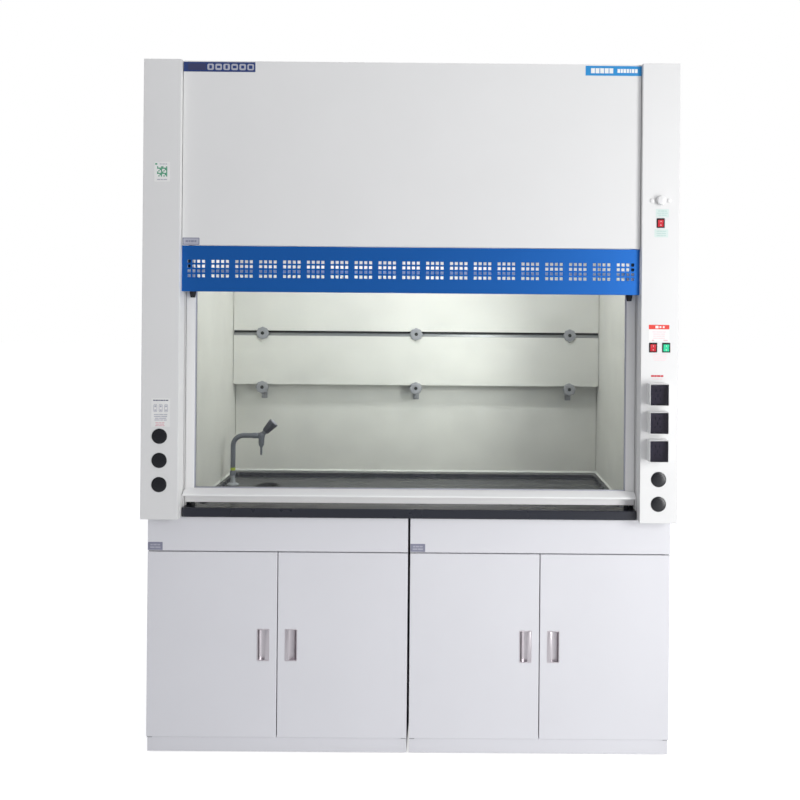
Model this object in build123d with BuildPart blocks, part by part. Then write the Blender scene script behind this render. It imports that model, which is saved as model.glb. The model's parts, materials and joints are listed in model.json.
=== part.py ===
"""Walk-in height laboratory fume hood on two base cabinets, as separate pieces.

Millimetres. +Z up, +X to the user's right, -Y towards the user. The origin is on the
floor, midway between the sides and midway between the frontmost and rearmost points.
Depths are given from the front faces of the two columns with deep(), positive backwards.
"""

import os
from math import cos, pi, radians, sin

from build123d import *

# --- Overall size -------------------------------------------------------------------
width = 1800.0  # over the outer side panels
depth = 850.0  # column faces to back panel
height = 2360.0  # floor to roof, without the exhaust spigot
socket_projection = 44.0  # the socket boxes stand out this far in front of the columns

# --- Sheet metal and board ----------------------------------------------------------
sheet = 1.5  # folded steel
fold = 20.0  # depth of the folded returns of every tray-shaped panel
board = 6.0  # lining board
baffle_board = 4.0
panel_gap = 1.0  # between neighbouring panels

# --- Base cabinets ------------------------------------------------------------------
cabinet_height = 815.0
cabinet_gap = 8.0  # between the two cabinets
cabinet_inset = 7.0  # cabinet sides lie inboard of the casing sides
door_setback = 60.0  # door faces behind the column faces
door_thickness = 20.0
door_gap = 3.0  # between the two doors of a cabinet
door_back_gap = 3.0  # door to carcass
apron_height = 119.0
apron_gap = 4.0
deck_height = 60.0  # cabinet floor, and the lower edge of the doors
floor_gap = 5.0  # carcass and plinth clear the floor
plinth_gap = 4.0
plinth_recess = 14.0
face_flange = 20.0  # folded front edge of the carcass
top_flange = 25.0
shelf_height = 380.0
shelf_depth = 600.0
shelf_clearance = 2.0

# --- Door pivots and pulls ----------------------------------------------------------
pivot_edge = 7.0  # pivot axis from the door's edge
pivot_face = 8.0  # pivot axis behind the door's face
pin_radius = 3.0
pin_clearance = 0.05
pin_engagement = 12.0
pull_width = 42.5
pull_height = 110.0
pull_rim = 1.8
pull_depth = 15.0
pull_lip = 13.0
pull_edge = 25.0  # pull to the door's free edge
pull_rise = 316.0  # pull centre above the door's lower edge

# --- Worktop, sink and tap ----------------------------------------------------------
worktop_setback = 40.0
worktop_thickness = 32.0
worktop_side_gap = 3.0  # worktop to column
basin_depth = 12.0
basin_side_rim = 20.0  # rim inside the lining
basin_front_rim = 62.0
basin_back_rim = 50.0
sink_inset, sink_deep = 189.0, 417.0  # from the left lining, and behind the column faces
sink_width, sink_length = 120.0, 240.0
sink_flange = 9.0
sink_flange_thickness = 3.0
sink_depth = 110.0
sink_wall = 3.0
sink_taper = 12.0  # the cup narrows this much on each side
waste_radius, waste_length = 20.0, 55.0
tap_inset, tap_deep = 50.0, 492.0
tap_reach = 110.0
tap_arm_height = 193.0  # arm centreline above the worktop floor
tap_pipe_radius = 9.5
tap_bend_radius = 40.0
tap_knob_tilt = 47.0  # knob axis above the horizontal
tap_shank_radius, tap_shank_length = 10.5, 62.0

# --- Casing -------------------------------------------------------------------------
column_width = 125.0
column_return = 60.0  # inner return of the column cover
casing_clearance = 1.0  # casing above the cabinets
fascia_setback = 20.0  # grille and front cover behind the column faces
grille_height = 154.0
opening_height = 766.0  # underside of the casing to the grille
grille_flange = 46.0
grille_gap = 2.0
vent_pitch, vent_margin = 80.5, 8.0  # between groups of holes, and left over at each end
vent_rows, vent_hole_pitch, vent_hole = 4, 16.2, 10.0

# --- Chamber lining and baffles -----------------------------------------------------
lining_inset = 20.0  # side linings inside the columns
lining_front = 106.0
duct_gap = 50.0  # rear lining to the back panel's face
loft_height = 300.0  # space above the chamber's ceiling
baffle_gap, lower_baffle_gap = 110.0, 60.0  # baffles in front of the rear lining
baffle_side_gap = 2.0
middle_baffle_rise, middle_baffle_height = 365.0, 200.0  # above the worktop, and its own height
baffle_slot = 21.0
baffle_overlap = 13.0
baffle_knee_drop = 350.0  # below the ceiling, where the upper baffle leans forward
baffle_top_gap, baffle_top_drop = 300.0, 35.0  # its upper edge, from the rear lining and ceiling
holder_inset = 122.0  # outer holders from the side linings
holder_radius, holder_thickness = 26.0, 10.0
holder_neck_radius = 9.0
holder_drop = 12.5  # lower holders below the middle baffle's edge

# --- Exhaust and lamp ---------------------------------------------------------------
spigot_radius = 125.0  # duct connection, outside
spigot_length = 84.0
spigot_wall = 4.0
spigot_clearance = 1.0  # to the roof and ceiling panels around it
spigot_flange_radius, spigot_flange_thickness = 155.0, 6.0
spigot_collar_radius, spigot_collar_thickness = 182.0, 3.0  # covers the square gap in the ceiling
spigot_gap = 150.0  # spigot centre in front of the rear lining
lamp_deep, lamp_length, lamp_width, lamp_height = 225.0, 1200.0, 110.0, 70.0
lamp_glass_thickness, lamp_clearance = 5.0, 1.0
lamp_tube_radius, lamp_tube_length = 13.0, 1150.0
gland_thread_radius, gland_bore_radius = 12.5, 7.0
gland_inset, gland_gap = 141.0, 120.0  # from the casing's side and from its back

# --- Sash ---------------------------------------------------------------------------
sash_side_gap = 4.0  # sash inside the columns
sash_deep = 71.5  # front face of the sash frame
sash_frame_depth = 20.0
stile_width = 30.0
glass_thickness = 5.0
glass_clearance = 0.2
glass_engagement = 8.0
sash_overlap = 78.0  # the closed sash reaches this far up behind the grille
bumper_height = 13.0
rail_height = 48.0
grip_reach, grip_drop, grip_thickness, grip_turn_down = 31.5, 15.0, 3.5, 6.0
tongue_width, tongue_thickness = 20.0, 6.0
track_width, track_depth, track_wall, track_slot = 24.0, 24.0, 2.0, 10.0
track_gap = 2.0
track_drop = 50.0  # tracks end below the roof
bumper_radius = 9.0
upper_bumper_height = 21.0
sash_travel = 650.0

# --- Sash balance -------------------------------------------------------------------
cable_inset = 85.0  # from the casing's side
cable_deep = 97.0
cable_radius = 1.5
pulley_radius = 50.0  # to the cable's centreline
pulley_flange = 4.0
pulley_width = 16.0
pulley_drop = 80.0  # axle below the roof
axle_radius = 6.0
axle_clearance = 0.05
lug_drop, lug_height = 120.0, 30.0  # cable lug below the top of the sash
lug_thickness = 5.0
weight_width, weight_depth = 60.0, 70.0
weight_drop = 80.0  # closed sash: top of the weight below the axle
weight_eye = 10.0
steel_density, glass_density, aluminium_density = 7.85e-6, 2.5e-6, 2.7e-6  # kg/mm3
frame_leg, frame_thickness = 28.0, 3.0

# --- Controls on the columns --------------------------------------------------------
plug_radius, plug_hole_radius, plug_thickness = 25.5, 23.0, 3.5
left_plug_rises = (279.0, 198.0, 117.0)  # above the casing's underside
right_plug_rises = (147.0, 64.0)
lamp_rocker_rise, fan_rocker_rise, fan_rocker_offset = 1008.0, 590.0, 22.0
bezel_width, bezel_height, bezel_rim, bezel_proud = 27.0, 32.5, 3.3, 2.0
switch_depth, switch_clearance = 20.0, 0.3
rocker_gap_side, rocker_gap_end = 0.5, 1.3
rocker_tilt = 8.0  # either side of level
rocker_pivot = 4.0  # pivot axis behind the column face
knob_rise = 1083.0
knob_radius, knob_length, knob_stud_spacing = 16.5, 18.0, 29.0
knob_shaft_radius = 3.0
socket_offset = 9.0  # inboard of the column's centreline
socket_rises = (435.0, 341.5, 248.0)
socket_width, socket_height, socket_wall = 64.0, 74.0, 2.0
socket_face_depth = 26.0  # socket face behind the cover
cover_thickness, cover_clearance = 4.0, 0.3
cover_axis_drop = 4.5  # hinge axis below the opening's upper edge
cover_pin_radius, cover_pin_length = 1.5, 1.2

# --- Places worked out from the above -----------------------------------------------
front = -(depth - socket_projection) / 2


def deep(distance):
    """Y of a plane this far behind the column faces."""
    return front + distance


cabinet_width = (width - 2 * cabinet_inset - cabinet_gap) / 2
cabinet_centre = (cabinet_gap + cabinet_width) / 2
carcass_front = door_setback + door_thickness + door_back_gap
door_width = (cabinet_width - door_gap) / 2
door_top = cabinet_height - apron_height - apron_gap
door_height = door_top - deck_height
pull_centre_height = deck_height + pull_rise
worktop_top = cabinet_height + worktop_thickness
basin_floor = worktop_top - basin_depth
worktop_half_width = width / 2 - column_width - worktop_side_gap
lining_half_width = width / 2 - column_width - lining_inset
lining_back = depth - duct_gap
worktop_back = lining_back + board
sink_x = sink_inset - lining_half_width
tap_x = tap_inset - lining_half_width
casing_bottom = cabinet_height + casing_clearance
casing_height = height - casing_bottom
column_centre = width / 2 - column_width / 2
grille_bottom = casing_bottom + opening_height
fascia_half_width = width / 2 - column_width - 2 * panel_gap
vent_groups = int(2 * (fascia_half_width - vent_margin) / vent_pitch)
cover_bottom = grille_bottom + grille_height + grille_gap
ceiling_height = height - loft_height
baffle_deep = lining_back - baffle_gap
lower_baffle_deep = lining_back - lower_baffle_gap
middle_baffle_bottom = worktop_top + middle_baffle_rise
middle_baffle_top = middle_baffle_bottom + middle_baffle_height
baffle_knee_height = ceiling_height - baffle_knee_drop
baffle_top_deep = lining_back - baffle_top_gap
baffle_top_height = ceiling_height - baffle_top_drop
holder_spacing = lining_half_width - holder_inset
spigot_deep = lining_back - spigot_gap
gland_x = width / 2 - gland_inset
gland_deep = depth - gland_gap
sash_half_width = width / 2 - column_width - sash_side_gap
sash_top = grille_bottom + sash_overlap
sash_bottom = worktop_top + bumper_height
rail_top = sash_bottom + rail_height
glass_deep = sash_deep + sash_frame_depth / 2
glass_bottom = sash_bottom + 13.0
track_top = height - track_drop
lug_bottom = sash_top - lug_drop
cable_x = width / 2 - cable_inset
pulley_height = height - pulley_drop
weight_top = pulley_height - weight_drop
pulley_deep = cable_deep + pulley_radius
weight_deep = cable_deep + 2 * pulley_radius
left_plug_heights = [casing_bottom + rise for rise in left_plug_rises]
right_plug_heights = [casing_bottom + rise for rise in right_plug_rises]
rocker_places = {
    "rocker_lamp": (column_centre, casing_bottom + lamp_rocker_rise),
    "rocker_fan": (column_centre - fan_rocker_offset, casing_bottom + fan_rocker_rise),
    "rocker_power": (column_centre + fan_rocker_offset, casing_bottom + fan_rocker_rise),
}
knob_x = column_centre
knob_height = casing_bottom + knob_rise
socket_x = column_centre - socket_offset
socket_heights = [casing_bottom + rise for rise in socket_rises]


def save(piece, name):
    """Label one finished piece and write it as its own STEP file."""
    piece.label = name
    export_step(piece, f"parts/{name}.step")


def block(x_low, x_high, deep_low, deep_high, z_low, z_high, mode=Mode.ADD):
    """A box between two depths behind the column faces, added to or cut from the open part."""
    with Locations(((x_low + x_high) / 2, deep((deep_low + deep_high) / 2), (z_low + z_high) / 2)):
        Box(x_high - x_low, deep_high - deep_low, z_high - z_low, mode=mode)


def facing(x, distance, z):
    """A sketch plane parallel to the front, looking out at the user, that extrudes towards -Y."""
    return Plane(origin=(x, deep(distance), z), x_dir=(1, 0, 0), z_dir=(0, -1, 0))


def upright(x, distance, z):
    """A sketch plane facing the user like facing(), for outlines that are revolved."""
    return Plane(origin=(x, deep(distance), z), x_dir=(1, 0, 0), z_dir=(0, -1, 0))


def crosswise(x, distance, z):
    """A sketch plane across the hood at one point, extruding towards +X."""
    return Plane(origin=(x, deep(distance), z), x_dir=(0, 1, 0), z_dir=(1, 0, 0))


def side_section(x):
    """A sketch plane across the hood, with depth as its first axis and height as its second."""
    return Plane(origin=(x, front, 0), x_dir=(0, 1, 0), z_dir=(1, 0, 0))


# --- Base cabinets ------------------------------------------------------------------
def make_carcass(centre):
    """Folded steel shell: sides, back, deck, face frame and top flanges."""
    left, right = centre - cabinet_width / 2, centre + cabinet_width / 2
    with BuildPart() as carcass:
        block(left, right, carcass_front, depth, floor_gap, cabinet_height)
        inside = (left + sheet, right - sheet, carcass_front + sheet, depth - sheet)
        block(*inside, deck_height, cabinet_height - sheet, mode=Mode.SUBTRACT)
        block(*inside, floor_gap, deck_height - sheet, mode=Mode.SUBTRACT)
        block(
            left + top_flange, right - top_flange, carcass_front + top_flange, depth - top_flange,
            cabinet_height - sheet, cabinet_height, mode=Mode.SUBTRACT,
        )
        block(
            left + face_flange, right - face_flange, carcass_front, carcass_front + sheet,
            deck_height + face_flange / 2, door_top - face_flange / 2, mode=Mode.SUBTRACT,
        )
        # Shelf tabs, two on each side
        for side_low, side_high in ((left + sheet, left + 14), (right - 14, right - sheet)):
            for tab in (carcass_front + 150, carcass_front + 520):
                block(side_low, side_high, tab, tab + 30, shelf_height - fold - 3, shelf_height - fold)
    return carcass.part


def make_tray(x_low, x_high, deep_low, z_low, z_high, thickness=fold):
    """Folded front panel: a face with returns that point backwards."""
    with BuildPart() as tray:
        block(x_low, x_high, deep_low, deep_low + thickness, z_low, z_high)
        block(
            x_low + sheet, x_high - sheet, deep_low + sheet, deep_low + thickness,
            z_low + sheet, z_high - sheet, mode=Mode.SUBTRACT,
        )
    return tray.part


def make_shelf(centre):
    """Loose steel shelf, folded down on all sides, resting on the carcass tabs."""
    half = cabinet_width / 2 - sheet - shelf_clearance
    start = carcass_front + 60
    with BuildPart() as shelf:
        end = start + shelf_depth
        block(centre - half, centre + half, start, end, shelf_height - fold, shelf_height)
        block(
            centre - half + sheet, centre + half - sheet, start + sheet, end - sheet,
            shelf_height - fold, shelf_height - sheet, mode=Mode.SUBTRACT,
        )
    return shelf.part


def make_foot(x, y):
    """Levelling foot: pad, stem and the plate that bears on the deck's underside."""
    with BuildPart() as foot:
        with BuildSketch(Plane.XY):
            with Locations((x, y)):
                Circle(22)
        extrude(amount=8)
        fillet(foot.edges().filter_by(GeomType.CIRCLE).group_by(Axis.Z)[-1], 2)
        with BuildSketch(Plane.XY.offset(8)):
            with Locations((x, y)):
                Circle(5)
        extrude(amount=deck_height - sheet - 8)
        with BuildSketch(Plane.XY.offset(deck_height - sheet - 3)):
            with Locations((x, y)):
                Circle(15)
        extrude(amount=3)
    return foot.part


def make_pivots(x, outward):
    """Upper and lower pivot brackets of one door, each with its pin."""
    axis_deep = door_setback + pivot_face
    pieces = []
    for plate_low, pin_low, pin_high in (
        (door_top + 1, door_top - pin_engagement, door_top + 1),
        (deck_height - 3, deck_height - 1, deck_height + pin_engagement),
    ):
        with BuildPart() as bracket:
            inner, outer = sorted((x + outward * 5, x - outward * 12))
            block(inner, outer, axis_deep - 5, carcass_front, plate_low, plate_low + 2)
            with BuildSketch(Plane.XY.offset(pin_low)):
                with Locations((x, deep(axis_deep))):
                    Circle(pin_radius)
            extrude(amount=pin_high - pin_low)
        pieces.append(bracket.part)
    return pieces


def make_door(x_low, hinge_side):
    """Door: outer pan with pivot bosses and the pull's cut-out, and the inner cover sheet."""
    x_high = x_low + door_width
    hinge_edge = x_low if hinge_side < 0 else x_high
    hinge_x = hinge_edge - hinge_side * pivot_edge
    pull_x = (x_high if hinge_side < 0 else x_low) + hinge_side * (pull_edge + pull_width / 2)
    boss_half = pivot_edge - sheet / 2
    with BuildPart() as pan:
        block(x_low, x_high, door_setback, door_setback + door_thickness, deck_height, door_top)
        fillet(pan.edges().filter_by(Axis.Z).group_by(Axis.Y)[0], 1.2)
        block(
            x_low + sheet, x_high - sheet, door_setback + sheet, door_setback + door_thickness,
            deck_height + sheet, door_top - sheet, mode=Mode.SUBTRACT,
        )
        for boss_low, boss_high in (
            (deck_height, deck_height + pin_engagement + 3),
            (door_top - pin_engagement - 3, door_top),
        ):
            block(
                hinge_x - boss_half, hinge_x + boss_half, door_setback + sheet / 2,
                door_setback + 2 * pivot_face, boss_low + sheet / 2, boss_high - sheet / 2,
            )
        for bore_low in (deck_height, door_top - pin_engagement - 0.5):
            with BuildSketch(Plane.XY.offset(bore_low)):
                with Locations((hinge_x, deep(door_setback + pivot_face))):
                    Circle(pin_radius + pin_clearance)
            extrude(amount=pin_engagement + 0.5, mode=Mode.SUBTRACT)
        block(
            pull_x - pull_width / 2 + pull_rim, pull_x + pull_width / 2 - pull_rim,
            door_setback, door_setback + sheet,
            pull_centre_height - pull_height / 2 + pull_rim,
            pull_centre_height + pull_height / 2 - pull_rim,
            mode=Mode.SUBTRACT,
        )
    with BuildPart() as inner_sheet:
        block(
            x_low + sheet + 0.2, x_high - sheet - 0.2,
            door_setback + door_thickness - sheet, door_setback + door_thickness,
            deck_height + sheet + 0.2, door_top - sheet - 0.2,
        )
    with BuildPart() as pull:
        with BuildSketch(facing(pull_x, door_setback, pull_centre_height)):
            RectangleRounded(pull_width, pull_height, 2)
        extrude(amount=1.2)
        inset = pull_rim + 0.3
        block(
            pull_x - pull_width / 2 + inset, pull_x + pull_width / 2 - inset,
            door_setback, door_setback + pull_depth,
            pull_centre_height - pull_height / 2 + inset, pull_centre_height + pull_height / 2 - inset,
        )
        half_trough = pull_width / 2 - inset - 1.2
        trough_depth = pull_depth - 1.5
        with BuildSketch(Plane.XY.offset(pull_centre_height - pull_height / 2 + inset + 1.5)):
            with BuildLine(Plane((pull_x, deep(door_setback)))):
                ThreePointArc((-half_trough, 0), (0, trough_depth), (half_trough, 0))
                Polyline((half_trough, 0), (half_trough, -1.2), (-half_trough, -1.2), (-half_trough, 0))
            make_face()
        extrude(amount=pull_height - 2 * inset - 3, mode=Mode.SUBTRACT)
        lip_edge = pull_x - hinge_side * (pull_width / 2 - 1)
        lip_low, lip_high = sorted((lip_edge, lip_edge + hinge_side * pull_lip))
        block(
            lip_low, lip_high, door_setback - 1.2, door_setback,
            pull_centre_height - pull_height / 2 + inset, pull_centre_height + pull_height / 2 - inset,
        )
    return Compound([pan.part.solid(), inner_sheet.part.solid()]), pull.part, hinge_x


# --- Worktop, sink and tap ----------------------------------------------------------
def make_worktop():
    """Dished slab with a raised rim, a sink opening and a tap hole."""
    basin_half = lining_half_width - basin_side_rim
    basin_start = worktop_setback + basin_front_rim
    basin_end = lower_baffle_deep - basin_back_rim
    with BuildPart() as worktop:
        block(
            -worktop_half_width, worktop_half_width, worktop_setback, worktop_back,
            cabinet_height, worktop_top,
        )
        front_edges = worktop.edges().filter_by(Axis.X).group_by(Axis.Y)[0]
        fillet(front_edges, 4)
        with BuildSketch(Plane.XY.offset(worktop_top)):
            with Locations((0, deep((basin_start + basin_end) / 2))):
                RectangleRounded(2 * basin_half, basin_end - basin_start, 14)
        extrude(amount=-basin_depth, taper=8, mode=Mode.SUBTRACT)
        with BuildSketch(Plane.XY.offset(cabinet_height)):
            with Locations((sink_x, deep(sink_deep))):
                Ellipse(sink_width / 2 - sink_flange + 1, sink_length / 2 - sink_flange + 1)
            with Locations((tap_x, deep(tap_deep))):
                Circle(tap_shank_radius + 1)
        extrude(amount=worktop_thickness, mode=Mode.SUBTRACT)
    return worktop.part


def make_cup_sink():
    """Oval drip cup that hangs in the worktop, with its waste outlet."""
    cup_half_width = sink_width / 2 - sink_flange
    cup_half_length = sink_length / 2 - sink_flange
    place = (sink_x, deep(sink_deep))
    with BuildPart() as sink:
        with BuildSketch(Plane.XY.offset(basin_floor)):
            with Locations(place):
                Ellipse(sink_width / 2, sink_length / 2)
        extrude(amount=sink_flange_thickness)
        bottom = basin_floor - sink_depth
        for top, low, wall, mode in (
            (basin_floor, bottom, 0, Mode.ADD),
            (basin_floor + sink_flange_thickness, bottom + sink_wall, sink_wall, Mode.SUBTRACT),
        ):
            with BuildSketch(Plane.XY.offset(top)):
                with Locations(place):
                    Ellipse(cup_half_width - wall, cup_half_length - wall)
            with BuildSketch(Plane.XY.offset(low)):
                with Locations(place):
                    Ellipse(cup_half_width - sink_taper - wall, cup_half_length - sink_taper - wall)
            loft(mode=mode)
        with BuildSketch(Plane.XY.offset(basin_floor - sink_depth)):
            with Locations(place):
                Circle(waste_radius)
        extrude(amount=-waste_length)
        with BuildSketch(Plane.XY.offset(basin_floor - sink_depth + sink_wall)):
            with Locations(place):
                Circle(waste_radius - sink_wall)
        extrude(amount=-waste_length - sink_wall, mode=Mode.SUBTRACT)
    return sink.part


tap_collar_height = 38.0  # swivel joint above the worktop floor


def make_tap_flange():
    """Tap base: cover flange, stem, swivel spigot, and the shank and nut below the worktop."""
    under_floor = basin_floor - cabinet_height
    with BuildPart() as flange:
        with BuildSketch(upright(tap_x, tap_deep, basin_floor)):
            with BuildLine():
                Polyline(
                    (0, tap_collar_height + 14), (6, tap_collar_height + 14), (6, tap_collar_height),
                    (8, tap_collar_height), (8, 12), (13, 9), (22, 6), (24, 3), (24, 0),
                    (tap_shank_radius, 0), (tap_shank_radius, -under_floor),
                    (18, -under_floor), (18, -under_floor - 10),
                    (tap_shank_radius, -under_floor - 10),
                    (tap_shank_radius, -tap_shank_length - under_floor),
                    (0, -tap_shank_length - under_floor), (0, tap_collar_height + 14),
                )
            make_face()
        revolve(axis=Axis((tap_x, deep(tap_deep), 0), (0, 0, 1)))
    return flange.part


def make_tap_neck():
    """Swan neck with its swivel collar, valve body, spindle and barbed nozzle."""
    y = deep(tap_deep)
    base = basin_floor + tap_collar_height
    arm = basin_floor + tap_arm_height
    valve_x = tap_x + tap_reach
    with BuildPart() as neck:
        with BuildLine() as route:
            FilletPolyline(
                (tap_x, y, base + 12), (tap_x, y, arm), (valve_x - 4, y, arm), radius=tap_bend_radius
            )
        with BuildSketch(Plane.XY.offset(base + 12)):
            with Locations((tap_x, y)):
                Circle(tap_pipe_radius)
        sweep(path=route.line)
        with BuildSketch(Plane.XY.offset(base + 0.3)):
            with Locations((tap_x, y)):
                Circle(11.5)
        extrude(amount=16)
        fillet(neck.edges().filter_by(GeomType.CIRCLE).group_by(Axis.Z)[0], 1)
        with BuildSketch(Plane.XY.offset(base)):
            with Locations((tap_x, y)):
                Circle(6 + axle_clearance)
        extrude(amount=15, mode=Mode.SUBTRACT)
        # Union nut between arm and valve
        with BuildSketch(crosswise(valve_x - 34, tap_deep, arm)):
            Circle(11)
        extrude(amount=22)
        # Valve body, nozzle and spindle
        with Locations((valve_x, y, arm)):
            Sphere(14)
        with BuildSketch(upright(valve_x, tap_deep, arm)):
            with BuildLine():
                Polyline((0, 0), (11, 0), (11, -32), (8, -42), (4.5, -44))
                for barb in range(4):
                    foot = -46 - barb * 7
                    Polyline(
                        (4.5, foot + 2), (4.5, foot), (5.2, foot), (3.8, foot - 5), (4.5, foot - 5)
                    )
                Polyline((4.5, -72), (3.6, -76), (0, -76), (0, 0))
            make_face()
        revolve(axis=Axis((valve_x, y, 0), (0, 0, 1)))
        lean = Vector(cos(radians(tap_knob_tilt)), 0, sin(radians(tap_knob_tilt)))
        with BuildSketch(Plane(origin=(valve_x, y, arm), x_dir=(0, 1, 0), z_dir=lean)):
            Circle(9)
        extrude(amount=20)
        with BuildSketch(Plane(origin=(valve_x, y, arm), x_dir=(0, 1, 0), z_dir=lean)):
            Circle(4)
        extrude(amount=44)
    return neck.part


def make_tap_knob():
    """Fluted conical hand knob on the valve spindle."""
    lean = Vector(cos(radians(tap_knob_tilt)), 0, sin(radians(tap_knob_tilt)))
    hub = Vector(tap_x + tap_reach, deep(tap_deep), basin_floor + tap_arm_height)
    small, large, length = 14.0, 20.5, 50.0
    with BuildPart() as knob:
        with BuildSketch(Plane(origin=hub + lean * 21, x_dir=(0, 1, 0), z_dir=lean)):
            Circle(small)
        with BuildSketch(Plane(origin=hub + lean * (21 + length), x_dir=(0, 1, 0), z_dir=lean)):
            Circle(large)
        loft()
        with BuildSketch(Plane(origin=hub + lean * 26, x_dir=(0, 1, 0), z_dir=lean)):
            with PolarLocations(large + 1.2, 10):
                Circle(3.2)
        extrude(amount=length, mode=Mode.SUBTRACT)
        with BuildSketch(Plane(origin=hub + lean * (21 + length), x_dir=(0, 1, 0), z_dir=lean)):
            Circle(large - 5)
        extrude(amount=1.2)
        with BuildSketch(Plane(origin=hub + lean * 20, x_dir=(0, 1, 0), z_dir=lean)):
            Circle(4 + axle_clearance)
        extrude(amount=26, mode=Mode.SUBTRACT)
    return knob.part


# --- Casing -------------------------------------------------------------------------
def make_side_panel(side):
    """Outer side panel, folded inwards on all four edges."""
    outer, inner = side * width / 2, side * (width / 2 - fold)
    low, high = sorted((outer, inner))
    start, end = fold + panel_gap, depth
    with BuildPart() as panel:
        block(low, high, start, end, casing_bottom, height)
        open_low, open_high = sorted((outer - side * sheet, inner))
        block(
            open_low, open_high, start + sheet, end - sheet,
            casing_bottom + sheet, height - sheet, mode=Mode.SUBTRACT,
        )
    return panel.part


def make_column(side, cut_outs):
    """Column cover: front face, short outer return and deep inner return."""
    outer, inner = side * width / 2, side * (width / 2 - column_width)
    with BuildPart() as column:
        low, high = sorted((outer, inner))
        block(low, high, 0, sheet, casing_bottom, height)
        fillet(column.edges().filter_by(Axis.Z).group_by(Axis.Y)[0], 1.4)
        low, high = sorted((outer, outer - side * sheet))
        block(low, high, sheet / 2, fold, casing_bottom, height)
        low, high = sorted((inner, inner + side * sheet))
        block(low, high, sheet / 2, column_return, casing_bottom, height)
        low, high = sorted((inner - side, inner + side * 2 * sheet))
        block(
            low, high, fascia_setback + fold, column_return + 1,
            height - fold - frame_leg - 3 * panel_gap, height, mode=Mode.SUBTRACT,
        )
        with BuildSketch(facing(0, 0, 0)):
            for shape, x, z, size in cut_outs:
                with Locations((x, z)):
                    if shape == "round":
                        Circle(size)
                    else:
                        Rectangle(*size)
        extrude(amount=-sheet, mode=Mode.SUBTRACT)
    return column.part


def make_grille():
    """Air intake grille: perforated face, with a lower flange that carries the upper bumpers."""
    top = grille_bottom + grille_height
    with BuildPart() as grille:
        block(
            -fascia_half_width, fascia_half_width, fascia_setback, fascia_setback + sheet,
            grille_bottom, top,
        )
        block(
            -fascia_half_width, fascia_half_width,
            fascia_setback + sheet, fascia_setback + grille_flange,
            grille_bottom, grille_bottom + sheet,
        )
        block(
            -fascia_half_width, fascia_half_width, fascia_setback + sheet, fascia_setback + fold,
            top - sheet, top,
        )
        with BuildSketch(facing(0, fascia_setback, grille_bottom + grille_height / 2)):
            with GridLocations(vent_pitch, 0, vent_groups, 1):
                with GridLocations(vent_hole_pitch, vent_hole_pitch, vent_rows, vent_rows):
                    Rectangle(vent_hole, vent_hole)
        extrude(amount=-sheet, mode=Mode.SUBTRACT)
    return grille.part


def make_roof_tray(x_low, x_high, start, end):
    """One roof panel, folded down on all sides; the right one has the cable entry."""
    with BuildPart() as roof:
        block(x_low, x_high, start, end, height - fold, height)
        block(
            x_low + sheet, x_high - sheet, start + sheet, end - sheet,
            height - fold, height - sheet, mode=Mode.SUBTRACT,
        )
        with BuildSketch(Plane.XY.offset(height)):
            with Locations((gland_x, deep(gland_deep))):
                Circle(gland_thread_radius + 0.2)
        extrude(amount=-sheet, mode=Mode.SUBTRACT)
    return roof.part.solid()


def make_roof():
    """Left and right roof panels, and the two short ones before and behind the spigot."""
    half = width / 2 - fold - panel_gap
    start, end = fascia_setback + fold + panel_gap, depth - fold - panel_gap
    gap = spigot_radius + spigot_clearance
    return Compound([
        make_roof_tray(-half, -gap, start, end),
        make_roof_tray(gap, half, start, end),
        make_roof_tray(panel_gap - gap, gap - panel_gap, start, spigot_deep - gap),
        make_roof_tray(panel_gap - gap, gap - panel_gap, spigot_deep + gap, end),
    ])


def make_back_panel():
    """Outer back panel, folded forwards on all sides."""
    half = width / 2 - fold - panel_gap
    with BuildPart() as panel:
        block(-half, half, depth - fold, depth, casing_bottom, height)
        block(
            -half + sheet, half - sheet, depth - fold, depth - sheet,
            casing_bottom + sheet, height - sheet, mode=Mode.SUBTRACT,
        )
    return panel.part


# --- Lining -------------------------------------------------------------------------
def make_ceiling():
    """Chamber ceiling: a front board with the lamp opening, and three boards round the spigot."""
    half = lining_half_width + board
    gap = spigot_radius + spigot_clearance
    low, high = ceiling_height, ceiling_height + board
    with BuildPart() as front_board:
        block(-half, half, lining_front, spigot_deep - gap, low, high)
        with BuildSketch(Plane.XY.offset(low)):
            with Locations((0, deep(lamp_deep))):
                Rectangle(lamp_length, lamp_width)
        extrude(amount=board, mode=Mode.SUBTRACT)
    boards = [front_board.part.solid()]
    for x_low, x_high, start, end in (
        (-half, -gap, spigot_deep - gap, spigot_deep + gap),
        (gap, half, spigot_deep - gap, spigot_deep + gap),
        (-half, half, spigot_deep + gap, worktop_back),
    ):
        with BuildPart() as rear_board:
            block(x_low, x_high, start, end, low, high)
        boards.append(rear_board.part.solid())
    return Compound(boards)


def make_top_baffle():
    """Upper baffle: upright sheet that leans forward above its knee."""
    half = lining_half_width - baffle_side_gap
    bottom = middle_baffle_top + baffle_slot
    run = baffle_deep - baffle_top_deep
    rise = baffle_top_height - baffle_knee_height
    slope = (run**2 + rise**2) ** 0.5
    normal_deep, normal_up = baffle_board * rise / slope, baffle_board * run / slope
    with BuildPart() as baffle:
        with BuildSketch(side_section(-half)):
            with BuildLine():
                Polyline(
                    (baffle_deep, bottom), (baffle_deep, baffle_knee_height),
                    (baffle_top_deep, baffle_top_height),
                    (baffle_top_deep + normal_deep, baffle_top_height + normal_up),
                    (baffle_deep + baffle_board, baffle_knee_height + normal_up / 2),
                    (baffle_deep + baffle_board, bottom), (baffle_deep, bottom),
                )
            make_face()
        extrude(amount=2 * half)
    return baffle.part


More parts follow.
